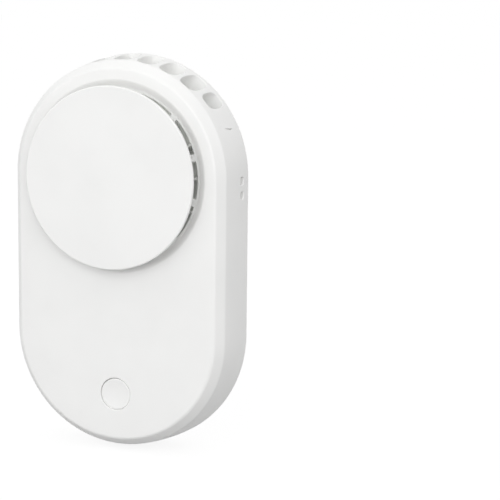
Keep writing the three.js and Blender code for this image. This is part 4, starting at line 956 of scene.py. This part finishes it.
def stake(name, radius, rear_y, front_y):
    """Round solids on the stake circle."""
    one = rod(name, radius, rear_y, front_y, 0, STAKE_CIRCLE)
    return round_blower(one, STAKE_COUNT, math.pi / STAKE_COUNT)


def front_shell():
    """Front half of the housing with its openings and pilot holes."""
    tools = [
        shell_cavity(), dish_tool(), window_tools(), *vent_tools(), *notch_tools(), *eyelet_tools(),
        port_tool(),
        flared_bore("button hole", BUTTON_RADIUS + BUTTON_GAP, FRONT_Y, 1, FACE_WALL + OVERLAP,
                    BUTTON_EDGE, -BUTTON_SHIFT, BUTTON_Z + BUTTON_SHIFT),
        stake("stake hole", STAKE_RADIUS + FIT_GAP, DISH_BACK_Y + OVERLAP, DISH_FLOOR_Y - OVERLAP),
    ]
    case_end = CASE_HEAD_SEAT_Y - CASE_SCREW_LENGTH - 2 * OVERLAP
    tools += [rod("pilot", PILOT_RADIUS, OVERRUN, case_end, x, z) for x, z in CASE_BOSSES]
    board_end = BOARD_HIGH.y - BOARD_SCREW_LENGTH - OVERLAP
    x, z = BOARD_BOSS
    tools += [rod("pilot", PILOT_RADIUS, BOARD_HIGH.y, board_end, side * x, z) for side in (-1, 1)]
    done(combine(shell_skin(), "DIFFERENCE", *tools), "housing", "white_abs", "front_shell")


def rear_cover():
    """Rear half of the housing: a shallow tray with its lip, chamber wall, bosses and screw holes."""
    rim_y = PARTING_Y + PARTING_GAP
    flat = HALF_WIDTH - REAR_EDGE_INSET
    half_turn = math.atan2(-rim_y, REAR_EDGE_INSET)
    radius = REAR_EDGE_INSET / math.sin(2 * half_turn)

    def edge(arc_radius):
        angles = [2 * half_turn * share for share in shares(2 * SIDE_ROWS)]
        return [(flat + arc_radius * math.sin(t), arc_radius * math.cos(t) - radius) for t in angles]

    rim_end = rim_y - RIM_ROUND / 4
    rim = [(HALF_WIDTH - RIM_ROUND / 2, rim_end), (HALF_WIDTH - 2 * RIM_ROUND, rim_end)]
    cover = combine(
        pill_solid("housing_rear", edge(radius) + rim), "DIFFERENCE",
        pill_solid("tray room", edge(radius - WALL)),
    )
    buried = REAR_FLOOR_Y + OVERLAP
    lip = pill_solid("lip", [
        (LIP_OUTER, buried), (LIP_OUTER, LIP_FRONT_Y),
        (LIP_OUTER - LIP_WALL, LIP_FRONT_Y), (LIP_OUTER - LIP_WALL, buried),
    ], True)
    rib_front = CHAMBER_JOINT_Y + SEAT_GAP
    rib = combine(
        prism("scroll rib", scroll_outline(), buried, rib_front), "INTERSECT",
        pill_solid("inside lip", [(LIP_OUTER, buried + OVERRUN), (LIP_OUTER, rib_front - OVERRUN)]),
    )
    notch_half = MOTOR_LEAD_X + LEAD_RADIUS + LEAD_ROOM
    notch_low = AXIS_Z - SCROLL_RADIUS - SCROLL_GROWTH - SCROLL_WALL - OVERLAP
    notch = block("lead notch", (-notch_half, rib_front - OVERLAP, notch_low),
                  (notch_half, REAR_FLOOR_Y, AXIS_Z - WHEEL_RADIUS))
    boss = rod("motor boss", MOTOR_BOSS_RADIUS, buried, MOTOR_BOSS_FRONT_Y, 0, MOTOR_SCREW_CIRCLE)
    bosses = [round_blower(boss, MOTOR_SCREW_COUNT)]
    bosses += [rod("case pad", CASE_PAD_RADIUS, buried, CASE_PAD_FRONT_Y, x, z) for x, z in CASE_BOSSES]
    cover = combine(cover, "UNION", lip, combine(rib, "DIFFERENCE", notch), *bosses)
    pilot = rod("motor pilot", PILOT_RADIUS, MOTOR_SCREW_SEAT_Y + MOTOR_SCREW_LENGTH + FIT_GAP,
                MOTOR_BOSS_FRONT_Y - OVERLAP, 0, MOTOR_SCREW_CIRCLE)
    holes = [round_blower(pilot, MOTOR_SCREW_COUNT)]
    for x, z in CASE_BOSSES:
        holes.append(flared_bore("head recess", HEAD_RADIUS + HEAD_ROOM, 0, -1,
                                 SEAT_GAP - CASE_HEAD_SEAT_Y, RECESS_EDGE, x, z))
        holes.append(rod("case hole", PILOT_RADIUS, OVERLAP, CASE_PAD_FRONT_Y - OVERLAP, x, z))
    done(combine(cover, "DIFFERENCE", *holes), "housing", "white_abs", "rear_cover")


# Disc and button

def intake_disc():
    """The raised disc with the ring that carries it and the stakes that hold it."""
    rear = DISC_FRONT_Y + DISC_THICKNESS
    seat = DISH_FLOOR_Y - SEAT_GAP
    skirt_inner = SKIRT_RADIUS - SKIRT_WALL
    plate = turned("disc", rounded([
        (0, DISC_FRONT_Y, 0), (DISC_RADIUS, DISC_FRONT_Y, DISC_ROUND),
        (DISC_RADIUS, DISC_FRONT_Y + DISC_EDGE, DISC_ROUND / 2),
        (DISC_RADIUS - DISC_CHAMFER, rear, DISC_ROUND), (SKIRT_RADIUS, rear, DISC_ROUND),
        (SKIRT_RADIUS, seat, FINE_ROUND), (skirt_inner, seat, FINE_ROUND),
        (skirt_inner, rear, DISC_ROUND), (0, rear, 0),
    ]))
    stakes = stake("stakes", STAKE_RADIUS, BLADE_FRONT_Y - FIT_GAP, rear - OVERLAP)
    done(combine(plate, "UNION", stakes), "housing", "white_abs", "intake_disc")


def power_button():
    """The flush button with a hollow for the finger, a flange behind the face and a stem."""
    front = BUTTON_LOW.y
    hollow = []
    for share in shares(2 * EDGE_STEPS):
        radius = (BUTTON_RADIUS - BUTTON_RIM) * share
        hollow.append((radius, front + BUTTON_HOLLOW * (1 - share * share)))
    rest = rounded([
        (*hollow[-1], 0), (BUTTON_RADIUS, front, BUTTON_EDGE),
        (BUTTON_RADIUS, FLANGE_FRONT_Y, FINE_ROUND), (FLANGE_RADIUS, FLANGE_FRONT_Y, FINE_ROUND),
        (FLANGE_RADIUS, FLANGE_REAR_Y, FINE_ROUND),
        (STEM_RADIUS, FLANGE_REAR_Y, SMALL_ROUND), (STEM_RADIUS, BUTTON_HIGH.y, SMALL_ROUND),
        (0, BUTTON_HIGH.y, 0),
    ])
    done(turned("button", hollow[:-1] + rest, 0, BUTTON_Z), "button", "white_abs", "power_button")


# Blower wheel

def blade_outline(thickness):
    """One forward-curved blade, straight above the origin at its tip."""
    root = HUB_RADIUS - OVERLAP
    steps = shares(2 * ROUND_STEPS)
    points = []
    for side, path in ((1, steps), (-1, reversed(steps))):
        for share in path:
            radius = root + (WHEEL_RADIUS - root) * share
            bend = BLADE_SWEEP * (1 - share) ** 2
            points.append(polar(radius, bend + side * math.asin(thickness / 2 / radius)))
    return points


def blower_wheel():
    """The wheel: a hub and a back plate with forward-curved blades."""
    hub = turned("blower_wheel", rounded([
        (0, HUB_FRONT_Y, 0), (HUB_RADIUS, HUB_FRONT_Y, HUB_ROUND),
        (HUB_RADIUS, PLATE_FRONT_Y, HUB_FILLET),
        (WHEEL_RADIUS, PLATE_FRONT_Y, PLATE_ROUND), (WHEEL_RADIUS, PLATE_REAR_Y, PLATE_ROUND),
        (HUB_INNER, PLATE_REAR_Y, SMALL_ROUND), (HUB_INNER, HUB_CAP_REAR_Y, SMALL_ROUND),
        (0, HUB_CAP_REAR_Y, 0),
    ]))
    blade = along_y("blade", [
        (blade_outline(BLADE_THICKNESS), PLATE_FRONT_Y + OVERLAP),
        (blade_outline(BLADE_THICKNESS), BLADE_FRONT_Y + BLADE_EDGE),
        (blade_outline(BLADE_THICKNESS - BLADE_EDGE), BLADE_FRONT_Y + BLADE_EDGE / 3),
        (blade_outline(BLADE_THICKNESS - 2 * BLADE_EDGE), BLADE_FRONT_Y),
    ])
    blades = round_blower(blade, BLADE_COUNT, FIRST_BLADE)
    done(combine(hub, "UNION", blades), "rotor", "natural_pc", "impeller")


# Screws

def screw(name, length, head_side):
    """Cross-recessed screw at the origin. Its head looks along Y by the sign of head_side."""
    root = SHANK_RADIUS - THREAD_DEPTH
    head = rounded([
        (0, HEAD_HEIGHT, 0), (HEAD_RADIUS, HEAD_HEIGHT, HEAD_HEIGHT / 2), (HEAD_RADIUS, 0, FINE_ROUND),
        (root, 0, 0), (root, -OVERLAP, 0), (0, -OVERLAP, 0),
    ], HEAD_ROUND_STEPS)
    body = turned(name, [(radius, head_side * y) for radius, y in head], 0, 0, HEAD_STEPS)
    rings = []
    for share in shares(round(length / THREAD_PITCH * THREAD_ROWS)):
        depth = OVERLAP / 2 + (length - OVERLAP / 2) * share
        taper = min(1, (length - depth) / THREAD_PITCH + THREAD_TIP)
        ring = []
        for turn in turns(THREAD_STEPS):
            phase = (depth / THREAD_PITCH + turn / (2 * math.pi)) % 1
            radius = (SHANK_RADIUS - THREAD_DEPTH * abs(2 * phase - 1)) * taper
            ring.append((radius * math.sin(turn), -head_side * depth, radius * math.cos(turn)))
        rings.append(ring)
    levels = ((HEAD_HEIGHT + OVERLAP, CROSS_TOP), (HEAD_HEIGHT - OVERLAP, CROSS_FLOOR))
    slots = []
    for turn in (0, math.pi / 2):
        loops = []
        for y, (reach, half) in levels:
            corners = ((reach, half), (-reach, half), (-reach, -half), (reach, -half))
            spun = [Matrix.Rotation(turn, 2) @ Vector(corner) for corner in corners]
            loops.append([(x, head_side * y, z) for x, z in spun])
        slots.append(loft("slot", loops))
    body = combine(body, "UNION", loft("thread", rings))
    return combine(body, "DIFFERENCE", *slots)


def screws():
    """The screws of the case and the board in pairs, and those of the motor in a ring."""
    pairs = (
        ("case_screws_upper", CASE_SCREW_LENGTH, CASE_HEAD_SEAT_Y, UPPER_BOSS, "case_screw", (1, 2)),
        ("case_screws_lower", CASE_SCREW_LENGTH, CASE_HEAD_SEAT_Y, LOWER_BOSS, "case_screw", (3, 4)),
        ("board_screws", BOARD_SCREW_LENGTH, BOARD_HIGH.y + SEAT_GAP, BOARD_BOSS, "board_screw", (1, 2)),
    )
    steel = FINISHES["plated_steel"]
    for name, length, seat_y, (x, z), node, numbers in pairs:
        pair = screw(name, length, 1)
        repeated(pair, Count=2, Start=(-x, seat_y, z), Step=(2 * x, 0, 0), Material=steel)
        done(pair, "housing", "plated_steel", *[f"{node}_{number}" for number in numbers])
    motor = screw("motor_screws", MOTOR_SCREW_LENGTH, -1)
    motor.data.transform(Matrix.Translation((0, MOTOR_SCREW_SEAT_Y, MOTOR_SCREW_CIRCLE)))
    round_blower(motor, MOTOR_SCREW_COUNT)
    done(motor, "housing", "plated_steel", "motor_screw_1", "motor_screw_2", "motor_screw_3")


# Charging socket

def charging_socket():
    """The socket's shell, its tongue on a block, and a row of contacts on each face of the tongue."""
    outer = slot_outline(SOCKET_SIZE.x, SOCKET_SIZE.y, SOCKET_CORNER, SOCKET_Y)
    mouth, end = SOCKET_LOW.z, SOCKET_HIGH.z
    shell = along_z("socket_shell", [
        (outer(-SOCKET_WALL), end), (outer(0), end),
        (outer(0), mouth + SOCKET_EDGE), (outer(-SOCKET_EDGE), mouth),
        (outer(SOCKET_EDGE - SOCKET_WALL), mouth), (outer(-SOCKET_WALL), mouth + SOCKET_EDGE),
    ], True)
    done(shell, "housing", "plated_steel", "usb_shell")
    block_low = end - TONGUE_BLOCK
    tongue_low = block_low - TONGUE_LENGTH
    tongue = slot_outline(TONGUE_WIDTH, TONGUE_THICKNESS, TONGUE_CORNER, SOCKET_Y)
    body = along_z("socket_tongue", [
        (tongue(-TONGUE_TAPER / 2), tongue_low), (tongue(0), tongue_low + TONGUE_TAPER),
        (tongue(0), block_low + OVERLAP),
    ])
    inside = outer(-SOCKET_WALL - SEAT_GAP)
    back = along_z("tongue block", [(inside, block_low), (inside, end)])
    done(combine(body, "UNION", back), "housing", "black_nylon", "usb_tongue")
    gold = gold_plating()
    start = (-CONTACT_PITCH * (CONTACT_COUNT - 1) / 2, SOCKET_Y, 0)
    face = TONGUE_THICKNESS / 2
    for side, name in ((1, "socket_contacts_rear"), (-1, "socket_contacts_front")):
        low_y, high_y = sorted((side * face, side * (face + CONTACT_HEIGHT)))
        contacts = block(name, (-CONTACT_WIDTH / 2, low_y, tongue_low + CONTACT_INSET),
                         (CONTACT_WIDTH / 2, high_y, block_low - SEAT_GAP))
        repeated(contacts, Count=CONTACT_COUNT, Start=start, Step=(CONTACT_PITCH, 0, 0), Material=gold)
        done(contacts, "housing", "plated_steel", material=gold)


# Cell, pad and leads

def cell_and_pad():
    """The pouch cell, and the foam pad between it and the front face."""
    cell = slot_outline(CELL_SIZE.x, CELL_SIZE.y, CELL_CORNER, CELL_MIDDLE.y)
    cell = along_z("pouch_cell", soft_ends(cell, CELL_LOW.z, CELL_HIGH.z, CELL_EDGE))
    done(cell, "housing", "pouch_foil", "battery_cell")
    pad = slot_outline(PAD_SIZE.x, PAD_SIZE.z, PAD_CORNER, (PAD_LOW.z + PAD_HIGH.z) / 2)
    pad = along_y("cell_pad", soft_ends(pad, PAD_LOW.y, PAD_HIGH.y, PAD_EDGE))
    done(pad, "housing", "foam", "battery_pad")


def smooth_path(points, steps):
    """Smooth curve through points that doesn't swing wide at uneven spacing."""
    points = [Vector(point) for point in points]
    points = [2 * points[0] - points[1], *points, 2 * points[-1] - points[-2]]
    path = []
    for a, b, c, d in zip(points, points[1:], points[2:], points[3:]):
        t1 = (b - a).length ** 0.5
        t2 = t1 + (c - b).length ** 0.5
        t3 = t2 + (d - c).length ** 0.5
        for i in range(steps):
            t = t1 + (t2 - t1) * i / steps
            ab = a.lerp(b, t / t1)
            bc = b.lerp(c, (t - t1) / (t2 - t1))
            cd = c.lerp(d, (t - t2) / (t3 - t2))
            abc = ab.lerp(bc, t / t2)
            bcd = bc.lerp(cd, (t - t1) / (t3 - t1))
            path.append(abc.lerp(bcd, (t - t1) / (t2 - t1)))
    return [*path, points[-2]]


def lead(name, slot, node, points):
    """Round sleeved wire along a smooth curve that stays in one upright plane."""
    path = smooth_path(points, ROUND_STEPS)
    across = Vector((1, 0, 0))
    loops = []
    for i, here in enumerate(path):
        along = (path[min(i + 1, len(path) - 1)] - path[max(i - 1, 0)]).normalized()
        out = across.cross(along)
        spokes = [across * math.cos(turn) + out * math.sin(turn) for turn in turns(LEAD_STEPS)]
        loops.append([here + spoke * LEAD_RADIUS for spoke in spokes])
    done(loft(name, loops), "housing", slot, node)


def leads():
    """Battery leads to the board, and motor leads under the wheel and behind the cell to the board."""
    landing_y = BOARD_HIGH.y + FIT_GAP + LEAD_RADIUS
    start_z = CELL_LOW.z - SEAT_GAP
    end_z = BOARD_HIGH.z - LEAD_LANDING
    over_base_y = MOTOR_BASE_FRONT_Y - SEAT_GAP - LEAD_RADIUS
    behind_y = (CELL_HIGH.y + REAR_FLOOR_Y) / 2
    base_z = AXIS_Z - MOTOR_BASE_RADIUS
    for side, tint in ((1, "red"), (-1, "black")):
        slot = f"{tint}_sleeve"
        x = side * BATTERY_LEAD_X
        lead(f"cell_lead_{tint}", slot, f"battery_lead_{tint}", [
            (x, landing_y, start_z), (x, landing_y, (start_z + end_z) / 2), (x, landing_y, end_z),
        ])
        x = side * MOTOR_LEAD_X
        lead(f"wheel_lead_{tint}", slot, f"motor_lead_{tint}", [
            (x, over_base_y, AXIS_Z - MOTOR_BOARD_RADIUS - SEAT_GAP), (x, over_base_y, base_z),
            (x, behind_y, base_z - LEAD_DROP), (x, behind_y, AXIS_Z - SCROLL_RADIUS),
            (x, behind_y, CELL_MIDDLE.z), (x, behind_y, CELL_LOW.z - 2 * LEAD_RADIUS),
            (x, landing_y, end_z), (x, landing_y, end_z - LEAD_LANDING),
        ])


INNER_SOLIDS = {
    "plated_steel": ["rotor_cup", "motor_shaft", "shaft_clip"],
    "lamination_steel": ["stator_core"],
    "ferrite": ["magnet_ring", "inductor"],
    "enamelled_copper": [f"stator_coil_{number}" for number in range(1, 7)],
    "sintered_bronze": ["sleeve_bearing"],
    "black_nylon": ["motor_base", "switch_body", "switch_plunger"],
    "black_epoxy": ["hall_sensor", "charge_chip"],
    "board_laminate": ["motor_board", "control_board"],
}


def inner_finishes():
    """The inner solids keep their shape and take the finish of their slot."""
    for slot, names in INNER_SOLIDS.items():
        for name in names:
            for place in frame["nodes"][name].material_slots:
                place.material = FINISHES[slot]


# Stage, light and camera

FLOOR_SIZE = 12  # metres
FLOOR_GREY = "#a9a9a9"  # what the floor throws back on the object
FLOOR_SHADOW = 0.16  # share of the floor's look that takes light and shadow
FLOOR_GLOW = 1.046  # makes up for the light that falls short on the open floor
ROOM_LIGHT = 0.765
WHITE = (1, 1, 1, 1)
SOFTBOXES = {  # place and side in metres, and watts
    "left softbox": ((-0.2, -1, 0.3), 0.8, 2),
    "right softbox": ((0.6, -0.8, 0.1), 0.8, 2.3),
    "front softbox": ((0.1, -0.6, 0.3), 0.5, 0.55),
}
DIFFUSE_BOUNCES = 12  # white hollows pass light on many times
CAMERA_PLACE = (191.236, -412.698, 70.522)  # millimetres
CAMERA_TURN = (21.1234, 8.8895, 0.67295)  # degrees to the left, downwards, and of roll
CAMERA_LENS = 118.583
SENSOR = 36


def seen_white(tree):
    """1 for rays from the camera and for those seen in gloss or through clear pieces, else 0."""
    rays = add(tree, "ShaderNodeLightPath")
    straight = add(tree, "ShaderNodeMath", {0: (rays, "Is Camera Ray"), 1: (rays, "Is Glossy Ray")},
                   operation="MAXIMUM")
    return add(tree, "ShaderNodeMath", {0: (straight, 0), 1: (rays, "Is Transmission Ray")},
               operation="MAXIMUM")


def studio_floor():
    """Pale floor: white to the eye with a faint shadow, and grey in the light that it throws back."""
    builder = bmesh.new()
    bmesh.ops.create_grid(builder, x_segments=1, y_segments=1, size=FLOOR_SIZE / 2)
    floor = object_from(builder, "studio_floor")
    floor.data.transform(Matrix.Translation((0, 0, (-AXIS_Z - HALF_WIDTH) * MM)))
    material = bpy.data.materials.new("studio floor")
    material.use_nodes = True
    tree = material.node_tree
    tree.nodes.clear()
    lit = add(tree, "ShaderNodeBsdfDiffuse", values={"Color": WHITE})
    glow = add(tree, "ShaderNodeEmission", values={"Color": WHITE, "Strength": FLOOR_GLOW})
    seen = add(tree, "ShaderNodeMixShader", {1: (glow, 0), 2: (lit, 0)}, {0: FLOOR_SHADOW})
    grey = add(tree, "ShaderNodeBsdfDiffuse", values={"Color": colour(FLOOR_GREY)})
    chosen = add(tree, "ShaderNodeMixShader", {0: (seen_white(tree), 0), 1: (grey, 0), 2: (seen, 0)})
    add(tree, "ShaderNodeOutputMaterial", {"Surface": (chosen, 0)})
    floor.data.materials.append(material)


def studio_world():
    """Even soft light from all round, and white where the eye looks past the floor."""
    world = bpy.data.worlds.new("studio")
    world.use_nodes = True
    tree = world.node_tree
    tree.nodes.clear()
    light = add(tree, "ShaderNodeBackground", values={"Color": WHITE, "Strength": ROOM_LIGHT})
    white = add(tree, "ShaderNodeBackground", values={"Color": WHITE, "Strength": 1})
    chosen = add(tree, "ShaderNodeMixShader", {0: (seen_white(tree), 0), 1: (light, 0), 2: (white, 0)})
    add(tree, "ShaderNodeOutputWorld", {"Surface": (chosen, 0)})
    bpy.context.scene.world = world


def softbox(name, place, side, watts):
    """Square area light, aimed at the origin."""
    lamp = bpy.data.lights.new(name, "AREA")
    lamp.size = side
    lamp.energy = watts
    holder = bpy.data.objects.new(name, lamp)
    bpy.context.scene.collection.objects.link(holder)
    holder.location = place
    holder.rotation_euler = (-Vector(place)).to_track_quat("-Z", "Y").to_euler()


def photo_camera():
    """The camera of the main view, in front of the fan, to the right and above."""
    left, down, roll = (math.radians(angle) for angle in CAMERA_TURN)
    lens = bpy.data.cameras.new("camera")
    lens.lens = CAMERA_LENS
    lens.sensor_width = SENSOR
    camera = bpy.data.objects.new("camera", lens)
    bpy.context.scene.collection.objects.link(camera)
    camera.location = Vector(CAMERA_PLACE) * MM
    level = Matrix.Rotation(left, 3, "Z") @ Matrix.Rotation(math.pi / 2 - down, 3, "X")
    camera.rotation_euler = (level @ Matrix.Rotation(roll, 3, "Z")).to_euler()
    bpy.context.scene.camera = camera


photo_camera()
front_shell()
rear_cover()
intake_disc()
power_button()
blower_wheel()
screws()
charging_socket()
cell_and_pad()
leads()
inner_finishes()
studio_floor()
studio_world()
for box_name, (box_place, box_side, box_watts) in SOFTBOXES.items():
    softbox(box_name, box_place, box_side, box_watts)
bpy.context.scene.view_settings.view_transform = "Standard"
bpy.context.scene.cycles.diffuse_bounces = DIFFUSE_BOUNCES
